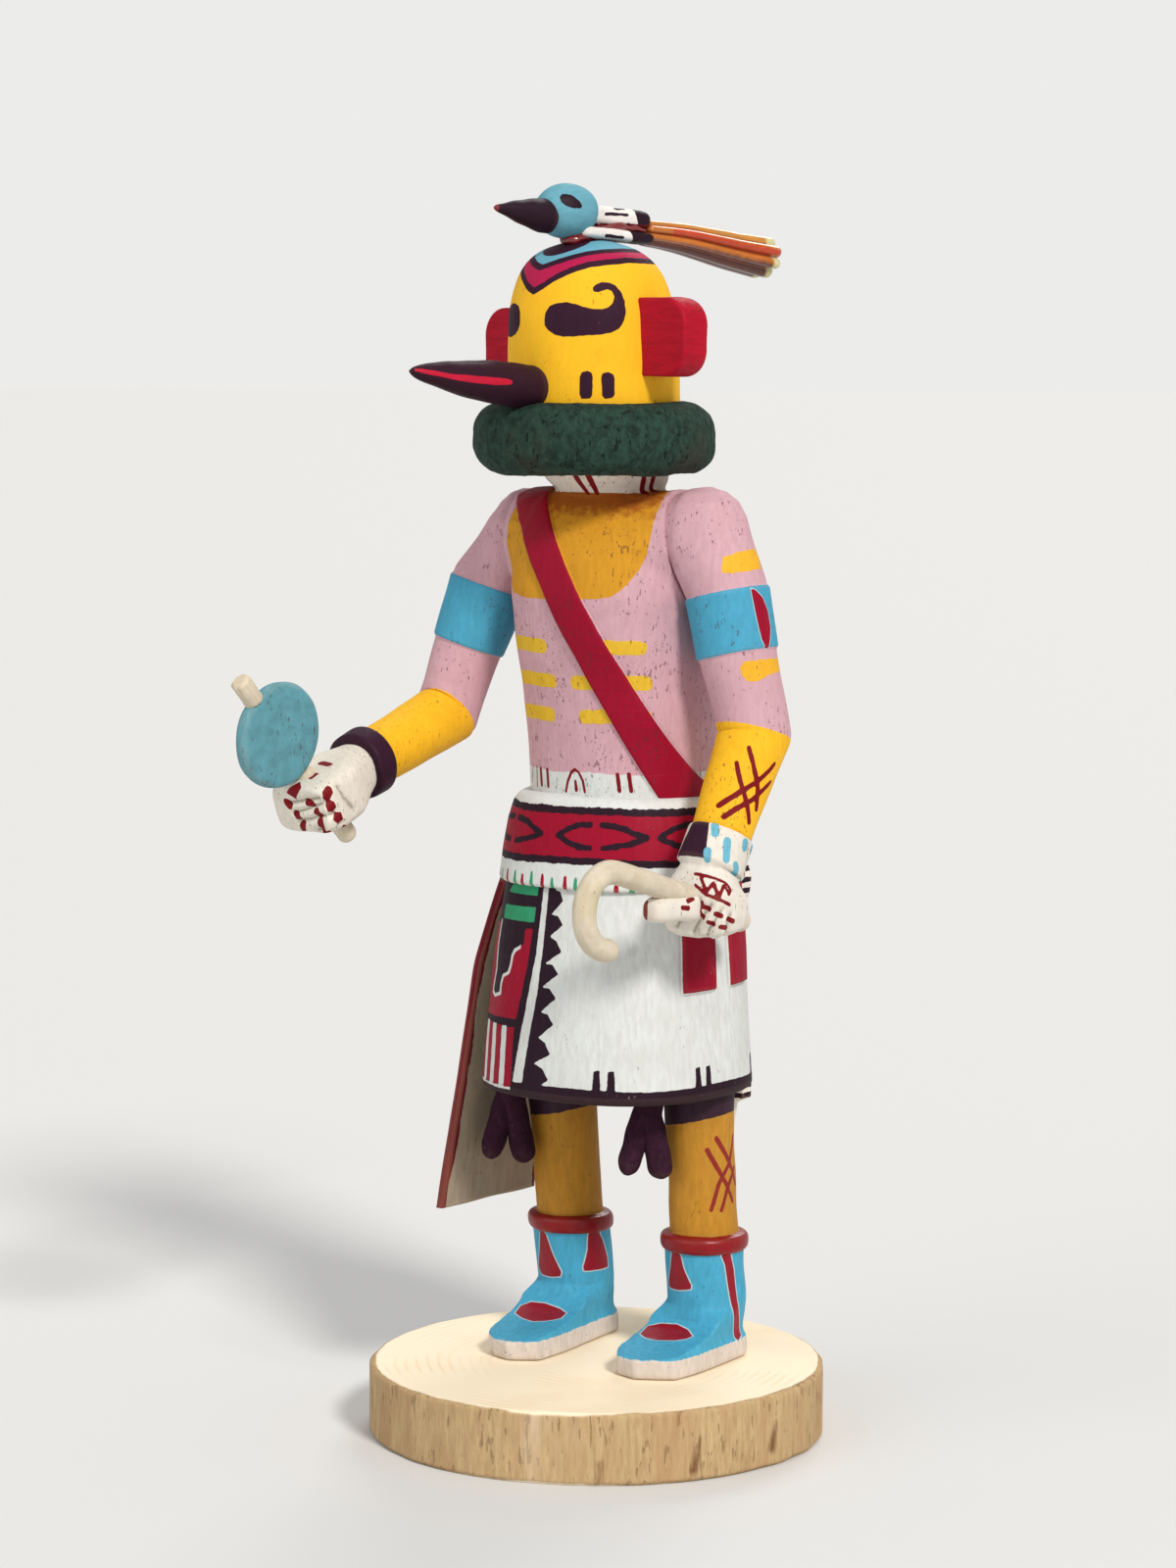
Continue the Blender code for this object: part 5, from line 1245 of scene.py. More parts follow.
shader.inputs["Specular IOR Level"].default_value = 0.2
height = calc("MULTIPLY_ADD", pores, -0.55, calc("MULTIPLY_ADD", grain, 0.5, coarse_grain))
raise_skin(tree, shader, height, 0.55, 0.4 * MM)
finish_piece(ruff, ruff_paint, "dark_green_paint", "ruff")

# %% Ears
red_paint = painted("ear_paint", colour(184, 10, 42), rough=0.5, stretch=(0.2, 0.2, 1.0),
                    pits=0.3, wear=0.0, dirt_and_shade=0.4, streak=0.24, shade=0.7, bump=1.0)
for name, node, sign, low in (("ear_left_tab", "ear_left", 1.0, 230.4),
                              ("ear_right_tab", "ear_right", -1.0, 228.7)):
    high, corner, square_part = low + 16.6, 6.0, 25.0
    outline = [(16.5, low), (square_part, low)]
    for middle, angles in ((low + corner, range(-80, 0, 10)), (high - corner, range(0, 91, 10))):
        outline += [(square_part + corner * math.cos(math.radians(t)),
                     middle + corner * math.sin(math.radians(t))) for t in angles]
    outline += [(16.5, high)]
    outline = even_ring(np.array(outline), 150)
    middle = outline.mean(axis=0)
    rows = []
    for depth, size in ((-3.5, 0.02), (-3.5, 0.93), (-3.42, 0.965), (-3.2, 0.99), (-2.8, 1.0),
                        (2.8, 1.0), (3.2, 0.99), (3.42, 0.965), (3.5, 0.93), (3.5, 0.02)):
        shrunk = middle + (outline - middle) * size
        rows.append([8.0 * size, depth, *shrunk.ravel()])
    ear = skin(name, [[head_place(row[1], sign * left, z) for left, z in row[2:].reshape(-1, 2)]
                      for row in dense_line(rows, 0.3, 0.16, 2)])
    carve(ear, 0.1, 9.0, 44 + int(sign))
    keep_marks(ear)
    finish_piece(ear, red_paint, "red_paint", node)

# %% Mask beak
shape = dense_line([(0.0, 4.7), (4.0, 4.75), (10.0, 4.55), (16.8, 4.05), (23.5, 3.1),
                    (28.9, 2.1), (32.0, 1.3), (33.3, 0.75), (33.8, 0.3)], 0.36, 0.6, 2)
beak = skin("long_beak", head_rings(
    [(18.8 + ahead, 0.0, 228.2 + 3.4 * max(ahead, 0.0) / 33.6, radius, radius)
     for ahead, radius in np.concatenate([[(-4.0, 4.7), (-2.0, 4.7)], shape])], 90))
points, facing = carve(beak, 0.1, 8.0, 47)
stroke = [(-6.8, -52.6, 232.2), (-5.9, -51.5, 232.1), (-4.7, -48.8, 231.7), (-3.2, -44.6, 231.0),
          (-1.6, -38.9, 230.6), (-0.4, -33.6, 230.2), (0.2, -30.8, 230.0), (0.5, -29.6, 229.5),
          (0.5, -29.9, 228.8), (-0.4, -33.6, 228.7), (-1.5, -38.2, 229.0), (-2.9, -43.3, 229.7),
          (-4.3, -47.6, 230.5), (-5.6, -51.1, 231.1), (-6.5, -52.8, 231.6)]


def over_the_nose(shape):
    """The same shape on the other side of the turned head."""
    shape = np.array(shape, float)
    return shape - 2.0 * np.outer((shape - HEAD_MIDDLE) @ HEAD_LEFT, HEAD_LEFT)


def on_both_sides(points, facing, shape):
    return nearest(patch_on(points, facing, side) for side in (shape, over_the_nose(shape)))


keep_marks(beak, red=on_both_sides(points, facing, stroke))
beak_paint = painted("beak_paint", colour(48, 20, 36), [("red", colour(196, 26, 56), 0.12, 0.45)],
                     rough=0.5, stretch=(1.0, 0.15, 1.0), pits=0.15, wear=0.02, dirt_and_shade=0.2,
                     streak=0.15, shade=0.75, bump=0.6)
finish_piece(beak, beak_paint, "aubergine_paint", "mask_beak")

# %% [markdown]
# ## The bird on the crown
# A small turquoise bird lies on the crown, glued on with a thick red glue that was never
# painted over. Its wings are two stacked white slips with black tips.

# %% Bird head and beak
bird = skin("bird_ball", head_rings(
    [(8.1 - 7.75 * math.cos(t), 0.0, 265.4, 5.9 * math.sin(t), 5.85 * math.sin(t))
     for t in np.pi * np.arange(1, 60) / 60.0], 100))
points, facing = carve(bird, 0.1, 8.0, 48)
bird_eye = [(1.5, -15.0, 268.1), (1.8, -14.3, 268.8), (2.6, -13.3, 268.8), (3.5, -12.4, 268.3),
            (4.1, -11.3, 267.2), (4.5, -10.9, 266.2), (4.4, -11.4, 265.7), (4.0, -13.1, 265.8),
            (3.0, -14.5, 266.2), (2.1, -15.1, 267.0)]
keep_marks(bird, eyes=on_both_sides(points, facing, bird_eye))
bird_paint = painted("bird_paint", colour(104, 166, 184), [("eyes", INK, 0.12, 0.45)],
                     stretch=(1.0, 0.2, 1.0), pits=0.15, wear=0.08, dirt_and_shade=0.4, streak=0.2,
                     shade=0.8)
finish_piece(bird, bird_paint, "turquoise_paint", "bird_head")

shape = dense_line([(0.0, 3.7), (1.6, 3.7), (3.4, 3.35), (8.3, 2.3), (12.6, 1.15), (14.4, 0.6),
                    (14.9, 0.2)], 0.3, 0.4, 2)
bird_beak = skin("bird_beak_cone", head_rings(
    [(13.9 + ahead, 0.0, 264.2 + 1.4 * ahead / 14.9, radius, radius)
     for ahead, radius in shape], 72))
points, _ = carve(bird_beak, 0.1, 6.0, 49)
keep_marks(bird_beak, tip=28.0 - (points - HEAD_MIDDLE) @ HEAD_AHEAD)
bird_beak_paint = painted("bird_beak_paint", colour(40, 20, 34), [
    ("tip", colour(120, 52, 50), 0.25, 0.4)], rough=0.45, stretch=(1.0, 0.2, 1.0), pits=0.1,
    wear=0.02, dirt_and_shade=0.2, streak=0.15, shade=0.75)
finish_piece(bird_beak, bird_beak_paint, "black_paint", "bird_beak")

# %% Wings and glue
wing_paint = painted("wing_paint", colour(238, 232, 228), [
    ("ink", INK, 0.15, 0.5), ("seam", colour(96, 22, 30), 0.3, 0.4)],
    stretch=(1.0, 0.15, 1.0), pits=0.3, wear=0.08, dirt_and_shade=0.5, streak=0.15)
wings = (
    ("wing_upper_slip", "wing_upper", 0.0, 265.1, 263.8, 3.5, 2.2, 7.4, [
        [(3.6, -1.6, 264.9), (4.2, 1.6, 265.0), (4.4, 5.1, 264.9)],
        [(3.3, 1.9, 266.3), (3.4, 4.8, 266.2)], [(2.1, -1.1, 262.6), (2.9, 5.1, 262.2)],
        [(0.2, -1.0, 267.3), (0.6, 5.4, 267.0)]]),
    ("wing_lower_slip", "wing_lower", 1.4, 261.15, 259.85, 3.2, 1.4, 4.8, [
        [(4.3, -2.6, 260.3), (5.0, 2.4, 260.0)]]))
wing_line = dense_line([(6.5, 0.8), (5.5, 1.0), (-12.6, 0.97), (-13.9, 0.9), (-14.6, 0.7)],
                       0.3, 0.3, 1)
for name, node, across, front_z, back_z, wide, high, tip_y, lines in wings:
    wing = skin(name, head_rings(
        [(ahead, across, np.interp(ahead, (-14.6, 5.3), (back_z, front_z)), wide * part,
          high * part) for ahead, part in wing_line], 72, 0.7))
    points, _ = carve(wing, 0.12, 7.0, 50)
    mirrored = [over_the_nose(line) + HEAD_LEFT * across * 2.0 for line in lines]
    ink = lines_on(wing, points, lines + mirrored, 0.75)
    ink = np.minimum(ink, tip_y + 0.4 * np.abs(points[:, 2] - front_z) - points[:, 1])
    keep_marks(wing, ink=ink, seam=np.abs(points[:, 2] - 262.5) - 0.45)
    finish_piece(wing, wing_paint, "white_paint", node)

glue_rows = []
for ahead in dense_line([(9.5,), (-13.5,)], 0.4, 0.0, 1)[:, 0]:
    z = np.interp(ahead, (-13.5, -4.0, 6.0, 9.5), (261.6, 262.4, 259.9, 259.2))
    wide = np.interp(ahead, (-13.5, -12.5, 8.0, 9.5), (1.5, 2.6, 3.0, 1.2))
    high = np.interp(ahead, (-13.5, -12.5, 0.0, 6.0, 9.5), (0.6, 0.9, 1.3, 1.9, 0.8))
    glue_rows.append((ahead, 0.8, z, wide, high))
glue = skin("bird_glue", head_rings(glue_rows, 48))
carve(glue, 0.25, 4.0, 53)
keep_marks(glue)
glue_look = painted("old_red_glue", colour(122, 26, 30), rough=0.16, pits=0.0, wear=0.0,
                    dirt_and_shade=0.3, streak=0.1, shade=0.6, shine=0.5, coat=0.7)
finish_piece(glue, glue_look, "red_paint", "wing_lower")

# %% [markdown]
# ## Rods and the bird's tail
# The crook, the rattle's stick and peg and the feathered tail are all whittled rods, so one
# geometry node tree makes them. It carries a round or fluted section along a path, lets it
# grow towards the end, blunts both ends and adds a little unevenness from a fixed seed.

# %% Rod tree
rod_tree = bpy.data.node_groups.new("whittled_rod", "GeometryNodeTree")
rod_tree.interface.new_socket("Path", in_out="INPUT", socket_type="NodeSocketGeometry")
for label, value in (("Radius", 0.0025), ("Grow", 1.0), ("Lobes", 0.0), ("Flute", 0.0),
                     ("Flatness", 1.0), ("Blunt", 0.001), ("End", 0.6), ("Uneven", 0.0002),
                     ("Grain", 150.0), ("Seed", 0.0)):
    socket = rod_tree.interface.new_socket(label, in_out="INPUT", socket_type="NodeSocketFloat")
    socket.default_value = value
rod_tree.interface.new_socket("Paint", in_out="INPUT", socket_type="NodeSocketMaterial")
rod_tree.interface.new_socket("Rod", in_out="OUTPUT", socket_type="NodeSocketGeometry")
r_in = rod_tree.nodes.new("NodeGroupInput").outputs
node, calc = partial(put, rod_tree), partial(sums, rod_tree)
line = node("GeometryNodeMeshToCurve", {"Mesh": r_in["Path"]}).outputs[0]
line = node("GeometryNodeResampleCurve", {"Curve": line, "Length": 0.4 * MM},
            mode="LENGTH").outputs[0]
part = node("GeometryNodeSplineParameter").outputs
whole = node("GeometryNodeSplineLength").outputs["Length"]
to_end = calc("MINIMUM", part["Length"], calc("SUBTRACT", whole, part["Length"]))
near = calc("MINIMUM", calc("DIVIDE", to_end, r_in["Blunt"]), 1.0)
short = calc("SUBTRACT", 1.0, near)
bulge = calc("SQRT", calc("SUBTRACT", 1.0, calc("MULTIPLY", short, short)))
blunted = calc("MULTIPLY_ADD", bulge, calc("SUBTRACT", 1.0, r_in["End"]), r_in["End"])
grown = calc("MULTIPLY_ADD", part["Factor"], calc("SUBTRACT", r_in["Grow"], 1.0), 1.0)
radius = calc("MULTIPLY", calc("MULTIPLY", r_in["Radius"], grown), blunted)
line = node("GeometryNodeSetCurveRadius", {"Curve": line, "Radius": radius}).outputs[0]
ring = node("GeometryNodeCurvePrimitiveCircle", {"Resolution": 108, "Radius": 1.0})
place = node("GeometryNodeInputPosition").outputs[0]
axes = node("ShaderNodeSeparateXYZ", {0: place}).outputs
half_lobes = calc("MULTIPLY", r_in["Lobes"], 0.5)
wave = calc("ABSOLUTE", calc("SINE", calc(
    "MULTIPLY", calc("ARCTAN2", axes[1], axes[0]), half_lobes)))
groove = calc("SUBTRACT", 1.0, calc("POWER", wave, 0.7))
reach = calc("SUBTRACT", 1.0, calc("MULTIPLY", groove, r_in["Flute"]))
fluted = node("ShaderNodeVectorMath", {0: place, "Scale": reach}, operation="SCALE")
flat = node("ShaderNodeCombineXYZ", {"X": 1.0, "Y": r_in["Flatness"], "Z": 1.0})
fluted = node("ShaderNodeVectorMath", {0: fluted.outputs[0], 1: flat.outputs[0]},
              operation="MULTIPLY")
ring = node("GeometryNodeSetPosition", {"Geometry": ring.outputs[0],
                                        "Position": fluted.outputs[0]}).outputs[0]
rod = node("GeometryNodeCurveToMesh", {"Curve": line, "Profile Curve": ring, "Scale": radius,
                                       "Fill Caps": True}).outputs[0]
noise = node("ShaderNodeTexNoise", {"W": r_in["Seed"], "Scale": r_in["Grain"],
                                    "Detail": 2.0}, noise_dimensions="4D").outputs[0]
push = calc("MULTIPLY", calc("SUBTRACT", noise, 0.5), r_in["Uneven"])
away = node("ShaderNodeVectorMath", {
    0: node("GeometryNodeInputNormal").outputs[0], "Scale": push}, operation="SCALE")
rod = node("GeometryNodeSetPosition", {"Geometry": rod, "Offset": away.outputs[0]}).outputs[0]
rod = node("GeometryNodeSetShadeSmooth", {"Geometry": rod}).outputs[0]
rod = node("GeometryNodeRealizeInstances", {"Geometry": rod}).outputs[0]
rod = node("GeometryNodeSetMaterial", {"Geometry": rod, "Material": r_in["Paint"]})
rod_tree.links.new(rod.outputs[0], rod_tree.nodes.new("NodeGroupOutput").inputs[0])


def whittle(name, path, paint, **values):
    """Run the rod tree along a path in mm and keep its result as a plain mesh."""
    path = np.asarray(path, float) * MM
    mesh = bpy.data.meshes.new(name + "_path")
    mesh.from_pydata(path.tolist(), [(i, i + 1) for i in range(len(path) - 1)], [])
    holder = new_object(name + "_path", mesh)
    modifier = holder.modifiers.new("rod", "NODES")
    modifier.node_group = rod_tree
    for item in rod_tree.interface.items_tree:
        if item.item_type == "SOCKET" and item.in_out == "INPUT" and item.name != "Path":
            value = paint if item.name == "Paint" else values.get(item.name, item.default_value)
            modifier[item.identifier] = value
    bpy.context.view_layer.update()
    graph = bpy.context.evaluated_depsgraph_get()
    made = bpy.data.meshes.new_from_object(holder.evaluated_get(graph))
    made.name = name
    bpy.data.objects.remove(holder, do_unlink=True)
    return new_object(name, made)


print("rod tree has", len(rod_tree.nodes), "nodes")

# %% Crook and rattle stick
cream_paint = painted("cream_wood", colour(222, 212, 194), [
    ("stain", colour(206, 194, 164), 1.5, 0.6, 3.5)], stretch=(1.0, 0.2, 0.2), pits=0.2, wear=0.1,
    dirt_and_shade=0.7, streak=0.25, shade=0.8)
arc = np.radians(69.3 + np.linspace(0.0, 208.0, 60))
crook_path = [(35.9, 4.4, 114.8), (35.9, -18.8, 123.4)]
crook_path += [(35.9, -42.4 + 8.2 * math.cos(a), 122.0 + 8.2 * math.sin(a)) for a in arc]
crook = whittle("crook_rod", dense_line(crook_path, 0.5, 2.0), cream_paint, Radius=2.5 * MM,
                Blunt=1.1 * MM, End=0.62, Uneven=0.45 * MM, Grain=110.0, Seed=3.0)
points, facing = places_of(crook)
bend = np.hypot(points[:, 1] + 49.0, points[:, 2] - 124.5) - 4.5
keep_marks(crook, stain=np.minimum(bend, 1.0 + ripple(points, 30.0, 61)))
finish_piece(crook, cream_paint, "cream_paint", "crook")

stick_foot = np.array([-36.0, -40.4, 131.8])
stick_head = np.array([-36.0, -71.8, 164.8])
stick_way = (stick_head - stick_foot) / np.linalg.norm(stick_head - stick_foot)
gourd_middle = stick_head - stick_way * 12.8
handle = whittle("rattle_stick", dense_line(
    [stick_foot, gourd_middle - stick_way * 11.2], 0.5), cream_paint, Radius=2.15 * MM,
    Blunt=1.4 * MM, End=0.45, Uneven=0.5 * MM, Grain=200.0, Seed=7.0)
points, facing = places_of(handle)
keep_marks(handle, stain=1.0 + ripple(points, 20.0, 62))
finish_piece(handle, cream_paint, "cream_paint", "rattle_handle")
peg = whittle("rattle_peg_end", dense_line(
    [gourd_middle + stick_way * 10.2, gourd_middle + stick_way * 16.9], 0.3), cream_paint,
    Radius=2.2 * MM, Lobes=7.0, Flute=0.07, Blunt=0.6 * MM, End=0.7, Uneven=0.7 * MM,
    Grain=330.0, Seed=9.0)
points, facing = places_of(peg)
keep_marks(peg, stain=0.6 + ripple(points, 12.0, 63))
finish_piece(peg, cream_paint, "cream_paint", "rattle_peg")

# %% Tail feathers
# The tail's top is painted paler as painted light, and the grooves between the flutes and the
# underside are painted darker as painted shade; the red-orange shaft stripe and the cream tips are
# paint colours.
tail_paint = painted("varnished_tail", colour(198, 112, 30), [
    ("pale", colour(206, 140, 56), 0.5, 0.16, 0.8), ("under", colour(92, 32, 12), 0.4, 0.16, 0.8),
    ("groove", colour(150, 66, 18), 0.2, 0.2, 0.5), ("tip", colour(222, 214, 160), 0.3, 0.18, 0.5),
    ("shaft", colour(196, 62, 12), 0.6, 0.16, 0.6)],
    rough=0.16, stretch=(1.0, 0.1, 1.0), pits=0.0, wear=0.0, dirt_and_shade=0.3, streak=0.24, shade=0.72,
    bump=0.3, shine=0.3, coat=0.55)
tail_line = [head_place(ahead, 0.6, z) for ahead, z in (
    (-13.4, 261.3), (-17.0, 261.1), (-26.0, 260.3), (-39.0, 258.2), (-49.6, 256.8),
    (-52.6, 256.4))]
tail = whittle("fluted_tail", dense_line(tail_line, 0.5, 3.0), tail_paint, Radius=3.4 * MM,
               Grow=1.76, Lobes=8.0, Flute=0.3, Flatness=0.82, Blunt=1.6 * MM, End=0.7,
               Uneven=0.3 * MM, Grain=90.0, Seed=4.0)
points, facing = places_of(tail)
local = points - HEAD_MIDDLE
tail_ahead = local @ HEAD_AHEAD
above = points[:, 2] - np.interp(-tail_ahead, (13.4, 26.0, 39.0, 52.6),
                                 (261.3, 260.3, 258.2, 256.4))
reach_out = np.hypot(local @ HEAD_LEFT - 0.6, above / 0.82)
widest = np.interp(-tail_ahead, (13.4, 52.6), (3.5, 6.0))
# Painted light on the top; painted shade in the grooves and on the underside.
keep_marks(tail, pale=2.2 - above, groove=(reach_out / widest - 0.8) * 12.0,
           under=above + 1.6, tip=49.6 + tail_ahead,
           shaft=np.maximum(np.abs(above - 0.9) - 0.9, 40.0 + tail_ahead * 2.0))
finish_piece(tail, tail_paint, "varnished_feathers", "tail_feathers")

# %% [markdown]
# ## The rattle's gourd
# The gourd is a thick flat disc with a rounded rim, a little out of round, painted a greyer
# blue than the armbands.

# %% Gourd
tilt = math.radians(-9.0)
gourd_face = np.array([math.cos(tilt), math.sin(tilt), 0.0])
gourd_face -= stick_way * (gourd_face @ stick_way)
gourd_face /= np.linalg.norm(gourd_face)
gourd_side = np.cross(stick_way, gourd_face)
profile = dense_line([(0.1, 1.85), (8.5, 1.82), (10.3, 1.65), (11.0, 1.1), (11.25, 0.3),
                      (11.25, -0.3), (11.0, -1.1), (10.3, -1.65), (8.5, -1.82), (0.1, -1.85)],
                     0.4, 0.3, 2)
angle = round_angles(170)
swell = 1.0 + 0.012 * np.sin(2.0 * angle + 0.7) + 0.008 * np.sin(3.0 * angle)
rings = [gourd_middle + np.outer(r * swell * np.cos(angle), gourd_side)
         + np.outer(r * swell * np.sin(angle), stick_way) + gourd_face * h for r, h in profile]
gourd = skin("gourd_disc", rings)
carve(gourd, 0.13, 9.0, 64)
keep_marks(gourd)
gourd_paint = painted("gourd_paint", colour(98, 158, 172), stretch=(1.0, 0.3, 0.3), pits=0.6,
                      wear=0.08, dirt_and_shade=0.6, streak=0.3, shade=0.76)
finish_piece(gourd, gourd_paint, "turquoise_paint", "rattle_gourd")

# %% [markdown]
# ## What hangs from the waist
# A thin board for the sash's end flares away from the right hip, a flat animal pelt hangs
# at the back, and a dark tie with two rounded ends hangs beside each knee.


# %% Sash board
board_table = [(46.0, -36.0, -11.4, 21.6), (73.0, -33.0, -8.0, 20.6), (101.0, -30.0, -5.0, 18.8),
               (111.0, -28.3, -2.6, 17.6), (120.4, -26.6, 0.4, 16.0)]
board_rows = []
for z, x, front, back in dense_line(board_table, 0.45, 2.0, 1):
    outline = [(-1.1, 0.35), (-0.75, 0.0), (0.75, 0.0), (1.1, 0.35), (1.1, back - front - 0.35),
               (0.75, back - front), (-0.75, back - front), (-1.1, back - front - 0.35)]
    flat = even_ring(np.array(outline), 130)
    board_rows.append([(x + a, front + b, z) for a, b in flat])
board = skin("sash_board", board_rows)
points, _ = carve(board, 0.12, 20.0, 71)
heights, *columns = np.array(board_table).T
middle_x, front, back = [np.interp(points[:, 2], heights, column) for column in columns]
edge = np.minimum(points[:, 1] - front, back - points[:, 1]) - 1.3 - 0.5 * ripple(points, 16.0, 73)
bars = np.minimum(np.abs(points[:, 2] - 52.5), np.abs(points[:, 2] - 56.5)) - 0.8
keep_marks(board, edge=edge, bars=np.maximum(bars, points[:, 0] - middle_x))
board_paint = painted("board_paint", colour(176, 162, 142), [
    ("bars", AUBERGINE, 0.3, 0.6), ("edge", colour(112, 8, 32), 0.3, 0.5)],
    stretch=(1.0, 1.0, 0.05), pits=0.4, wear=0.1, dirt_and_shade=0.7, streak=0.25, shade=0.78, bump=0.7)
finish_piece(board, board_paint, "white_paint", "sash_end")

# %% Pelt
pelt_half = [(54.9, 1.2), (56.4, 3.4), (61.6, 5.6), (68.6, 7.0), (70.2, 10.8), (74.6, 11.0),
             (79.6, 8.3), (93.0, 7.3), (112.0, 7.5), (116.0, 10.1), (120.0, 10.6), (125.0, 8.5),
             (127.0, 5.0)]
pelt_rows = []
for z, wide in dense_line(pelt_half, 0.4, 0.35, 2):
    inner = 32.4 if z < 75.8 else 30.0
    outline = [(-wide, inner), (-wide, 35.6), (-wide * 0.93, 36.6), (-wide * 0.6, 37.0),
               (wide * 0.6, 37.0), (wide * 0.93, 36.6), (wide, 35.6), (wide, inner)]
    flat = even_ring(np.array(outline), 120)
    pelt_rows.append([(5.0 + a, b, z) for a, b in flat])
pelt = skin("pelt_board", pelt_rows)
points, _ = carve(pelt, 0.12, 14.0, 72)
x, z = points[:, 0] - 5.0, points[:, 2]
stripes = nearest(np.abs(z - row - 0.03 * np.abs(x)) - 0.62
                  for row in (70.6, 73.0, 75.4, 116.6, 119.0, 121.4))
stripes = np.maximum(stripes, 8.0 - np.abs(x))
spine = np.abs(x - 0.6 * np.sin(z * 0.25)) - np.interp(z, (60.0, 80.0, 124.0), (1.6, 2.6, 2.0))
keep_marks(pelt, stripes=stripes, spine=spine, tip=z - 61.0)
pelt_paint = painted("pelt_paint", colour(232, 226, 216), [
    ("spine", colour(150, 128, 108), 1.4, 0.7), ("tip", INK, 0.6, 0.6),
    ("stripes", INK, 0.2, 0.6)],
    stretch=(1.0, 1.0, 0.1), pits=0.4, wear=0.1, dirt_and_shade=0.6, streak=0.2, shade=0.84)
finish_piece(pelt, pelt_paint, "white_paint", "pelt")

# %% Knee ties
tie_paint = painted("tie_paint", colour(58, 26, 46), rough=0.8, stretch=(1.0, 1.0, 0.5),
                    pits=0.3, wear=0.04, dirt_and_shade=0.2, streak=0.3, shade=0.6, bump=0.8,
                    pit_colour=colour(108, 78, 92))
across = np.array([0.788, 0.616, 0.0])
for name, place, length in (("knee_tie_right", (-24.5, -0.4), 19.0),
                            ("knee_tie_left", (12.9, 0.7), 18.2)):
    top = np.array([place[0], place[1], 75.2])
    for lobe, rows in (("long", ((0.0, 0.6, 3.2), (0.25, 0.4, 3.0), (0.55, 2.0, 2.6),
                                 (0.9, 3.2, 2.7), (0.965, 3.35, 2.1), (1.0, 3.4, 0.7))),
                       ("short", ((0.02, 0.0, 2.3), (0.15, -0.2, 2.4), (0.4, -1.6, 2.6),
                                  (0.82, -3.8, 2.5), (0.92, -4.1, 1.9), (0.96, -4.2, 0.6)))):
        path = [(*(top + across * swing - np.array([0.0, 0.0, length * t])), r, r, 2.15)
                for t, swing, r in rows]
        tie = skin(f"{name}_{lobe}", tube_rows(dense_line(path, 0.4, 0.7, 4), 50,
                                               (1.0, 0.0, 0.0)))
        carve(tie, 0.14, 6.0, 74)
        keep_marks(tie)
        finish_piece(tie, tie_paint, "aubergine_paint", name)

# %% [markdown]
# ## The base
# The base is a slice of a branch, left bare. The saw left a pale top with faint rings, and
# the peeled side shows the fibres running up and down, with a few dark knots.

# %% Base
angle = round_angles(460)
swell = (0.35 * np.sin(2.0 * angle + 0.6) + 0.25 * np.sin(3.0 * angle + 2.0)
         + 0.12 * np.sin(7.0 * angle) - 0.35)
profile = dense_line([(40.0, 0.0), (49.3, 0.0), (50.0, 0.7), (50.0, 14.8), (49.3, 15.5),
                      (40.0, 15.5)], 0.45, 0.2, 2)
profile = [(r, 0.0) for r in (0.3, 10.0, 20.0, 30.0)] + [tuple(row) for row in profile]
profile += [(r, 15.5) for r in (30.0, 20.0, 10.0, 0.3)]
rings = [np.stack([(r + swell * r / 50.0) * np.cos(angle), (r + swell * r / 50.0) * np.sin(angle),
                   np.full(460, z)], 1) for r, z in profile]
base = skin("branch_slice", rings)
points, _ = places_of(base)
side_share = np.clip((np.hypot(points[:, 0], points[:, 1]) - 48.4) / 1.0, 0.0, 1.0)
fibres = np.arctan2(points[:, 1], points[:, 0]) * 50.0
flutes = ripple(np.stack([fibres, 0.0 * fibres, points[:, 2] * 0.15], 1), 7.0, 81)
move_out(base, side_share * (0.16 * flutes - 0.12))
sheet = np.stack([fibres, points[:, 2]], 1)
knots = nearest(
    line_gap(sheet, [(math.radians(at) * 50.0, low), (math.radians(at) * 50.0 + lean, high)],
             (wide, 0.5))
    for at, low, high, lean, wide in (
        (-4.0, 4.0, 9.5, 1.2, 1.5), (-28.0, 2.6, 9.0, 1.6, 1.3), (-52.0, 1.0, 5.0, 0.3, 0.8),
        (88.0, 5.0, 11.0, -1.0, 1.6), (171.0, 3.0, 8.0, 1.0, 1.2)))
keep_marks(base, side=49.2 - np.hypot(points[:, 0], points[:, 1]) / (1.0 + swell.mean() / 50.0),
           knots=knots)
base_wood, tree, shader = new_material("branch_wood")
calc, mix = partial(sums, tree), partial(blend, tree)
place = put(tree, "ShaderNodeTexCoord").outputs["Object"]
off_heart = put(tree, "ShaderNodeVectorMath", {0: place, 1: (0.004, -0.003, 0.0)},
                operation="SUBTRACT").outputs[0]
flat_place = put(tree, "ShaderNodeVectorMath", {0: off_heart, 1: (1.0, 1.06, 0.0)},
                 operation="MULTIPLY").outputs[0]
from_heart = put(tree, "ShaderNodeVectorMath", {0: flat_place},
                 operation="LENGTH").outputs["Value"]
ring_place = calc("MULTIPLY_ADD", noise_of(tree, None, 40.0), 0.004, from_heart)
ring_wave = calc("SINE", calc("MULTIPLY", ring_place, 2600.0))
ring_mask = calc("MULTIPLY", span(tree, ring_wave, 0.3, 1.0),
                 span(tree, noise_of(tree, None, 55.0, 2.0), 0.45, 0.7, 0.0, 0.45))
top_tint = mix(ring_mask, colour(248, 232, 204), colour(232, 206, 164))
cloud = noise_of(tree, None, 30.0, 4.0)
top_tint = mix(span(tree, cloud, 0.5, 0.8, 0.0, 0.5), top_tint, colour(236, 212, 172))
fibre = noise_of(tree, (1.0, 1.0, 0.14), 1000.0, 5.0, 0.7)
broad = noise_of(tree, (1.0, 1.0, 0.16), 130.0)
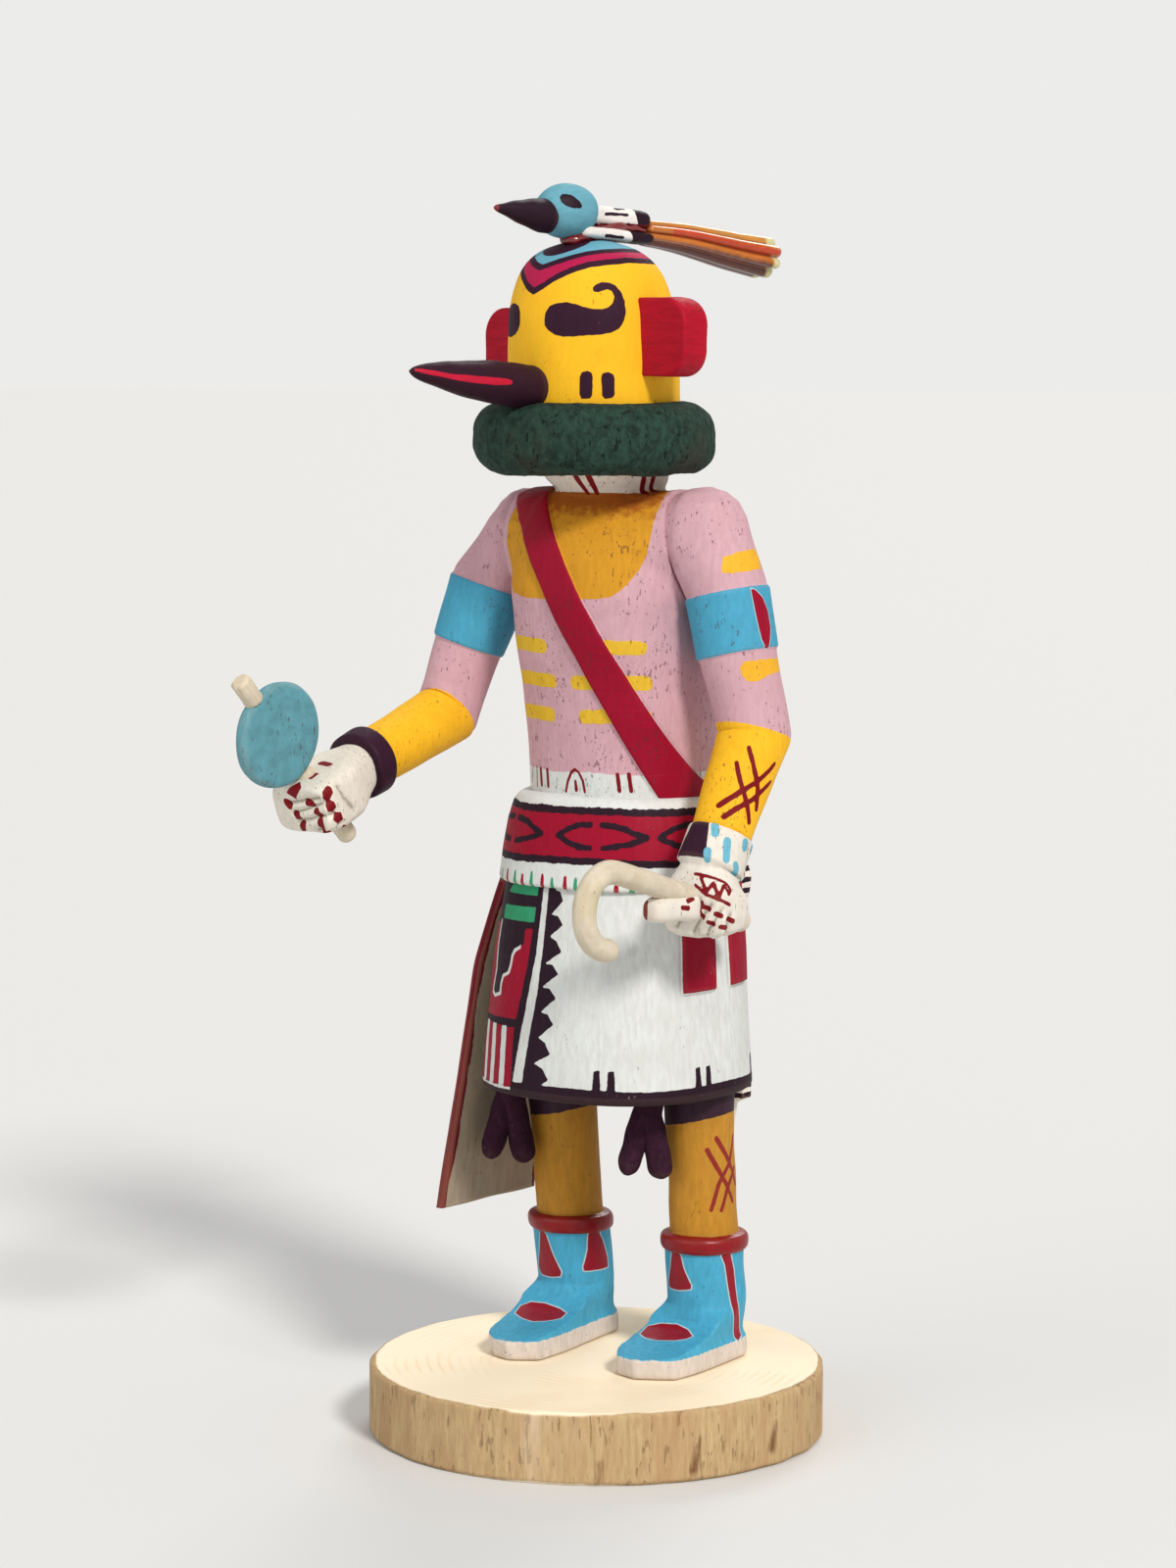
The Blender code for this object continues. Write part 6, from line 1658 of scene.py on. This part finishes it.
side_tint = mix(span(tree, fibre, 0.3, 0.72), colour(174, 144, 104), colour(198, 170, 126))
side_tint = mix(span(tree, broad, 0.42, 0.7, 0.0, 0.6), side_tint, colour(172, 134, 96))
tears = put(tree, "ShaderNodeGroup", {"Stretch": (1.0, 1.0, 0.2), "Scale": 800.0, "Amount": 1.0},
            node_tree=pit_tree).outputs["Pits"]
side_tint = mix(calc("MULTIPLY", tears, 0.4), side_tint, colour(96, 64, 36))
knot_noise = calc("MULTIPLY_ADD", calc("SUBTRACT", fibre, 0.5), 2.4, mark_of(tree, "knots"))
side_tint = mix(span(tree, knot_noise, 1.1, -0.9, 0.0, 0.85), side_tint, colour(92, 48, 20))
side_noise = calc("MULTIPLY_ADD", calc("SUBTRACT", broad, 0.5), 1.2, mark_of(tree, "side"))
side_mask = span(tree, side_noise, 0.35, -0.15)
tree.links.new(mix(side_mask, top_tint, side_tint), shader.inputs["Base Color"])
shader.inputs["Roughness"].default_value = 0.8
shader.inputs["Specular IOR Level"].default_value = 0.2
height = put(tree, "ShaderNodeMix", {
    0: side_mask, 2: calc("MULTIPLY", ring_mask, 0.12),
    3: calc("MULTIPLY_ADD", tears, -0.5, fibre)}).outputs[0]
raise_skin(tree, shader, height, 0.7, 0.5 * MM)
finish_piece(base, base_wood, "raw_wood", "base")

# %% [markdown]
# ## Floor and light
# A pale plain floor and three soft lamps. The strongest stands to the right of the camera
# and above, so the left arm shades the chest as it does in the photograph.

# %% Floor and light
FLOOR_REACH = 30
floor_mesh = bpy.data.meshes.new("floor")
floor_mesh.from_pydata([(x * FLOOR_REACH, y * FLOOR_REACH, 0) for x, y in (
    (-1, -1), (1, -1), (1, 1), (-1, 1))], [], [(0, 1, 2, 3)])
floor = new_object("floor", floor_mesh)
floor_paint, _, floor_shader = new_material("pale_floor")
floor_shader.inputs["Base Color"].default_value = (0.68, 0.68, 0.675, 1.0)
floor_shader.inputs["Roughness"].default_value = 0.85
floor_mesh.materials.append(floor_paint)
floor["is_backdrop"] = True


def soft_light(name, place, spread, strength, tint):
    """A lamp far off in one direction; spread is its width in degrees."""
    data = bpy.data.lights.new(name, "SUN")
    data.angle = math.radians(spread)
    data.energy = strength
    data.color = tint
    lamp = new_object(name, data)
    lamp.location = place
    lamp.rotation_mode = "QUATERNION"
    lamp.rotation_quaternion = (-Vector(place)).to_track_quat("-Z", "Y")


soft_light("key", (1.15, -0.55, 1.0), 11.0, 2.5, (1.0, 0.97, 0.93))
soft_light("fill", (-0.45, -1.2, 0.7), 50.0, 0.6, (0.96, 0.98, 1.0))
soft_light("back", (-0.3, 0.75, 0.6), 24.0, 0.8, (1.0, 0.99, 0.97))
world = bpy.data.worlds.new("studio")
world.use_nodes = True
sky = world.node_tree
sky.nodes["Background"].inputs["Color"].default_value = (0.97, 0.967, 0.955, 1.0)
seen = put(sky, "ShaderNodeLightPath").outputs["Is Camera Ray"]
glow = sums(sky, "MULTIPLY_ADD", seen, 0.366, 0.5)
sky.links.new(glow, sky.nodes["Background"].inputs["Strength"])
bpy.context.scene.world = world

# %% Close the scene
bpy.context.view_layer.update()
low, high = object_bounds()
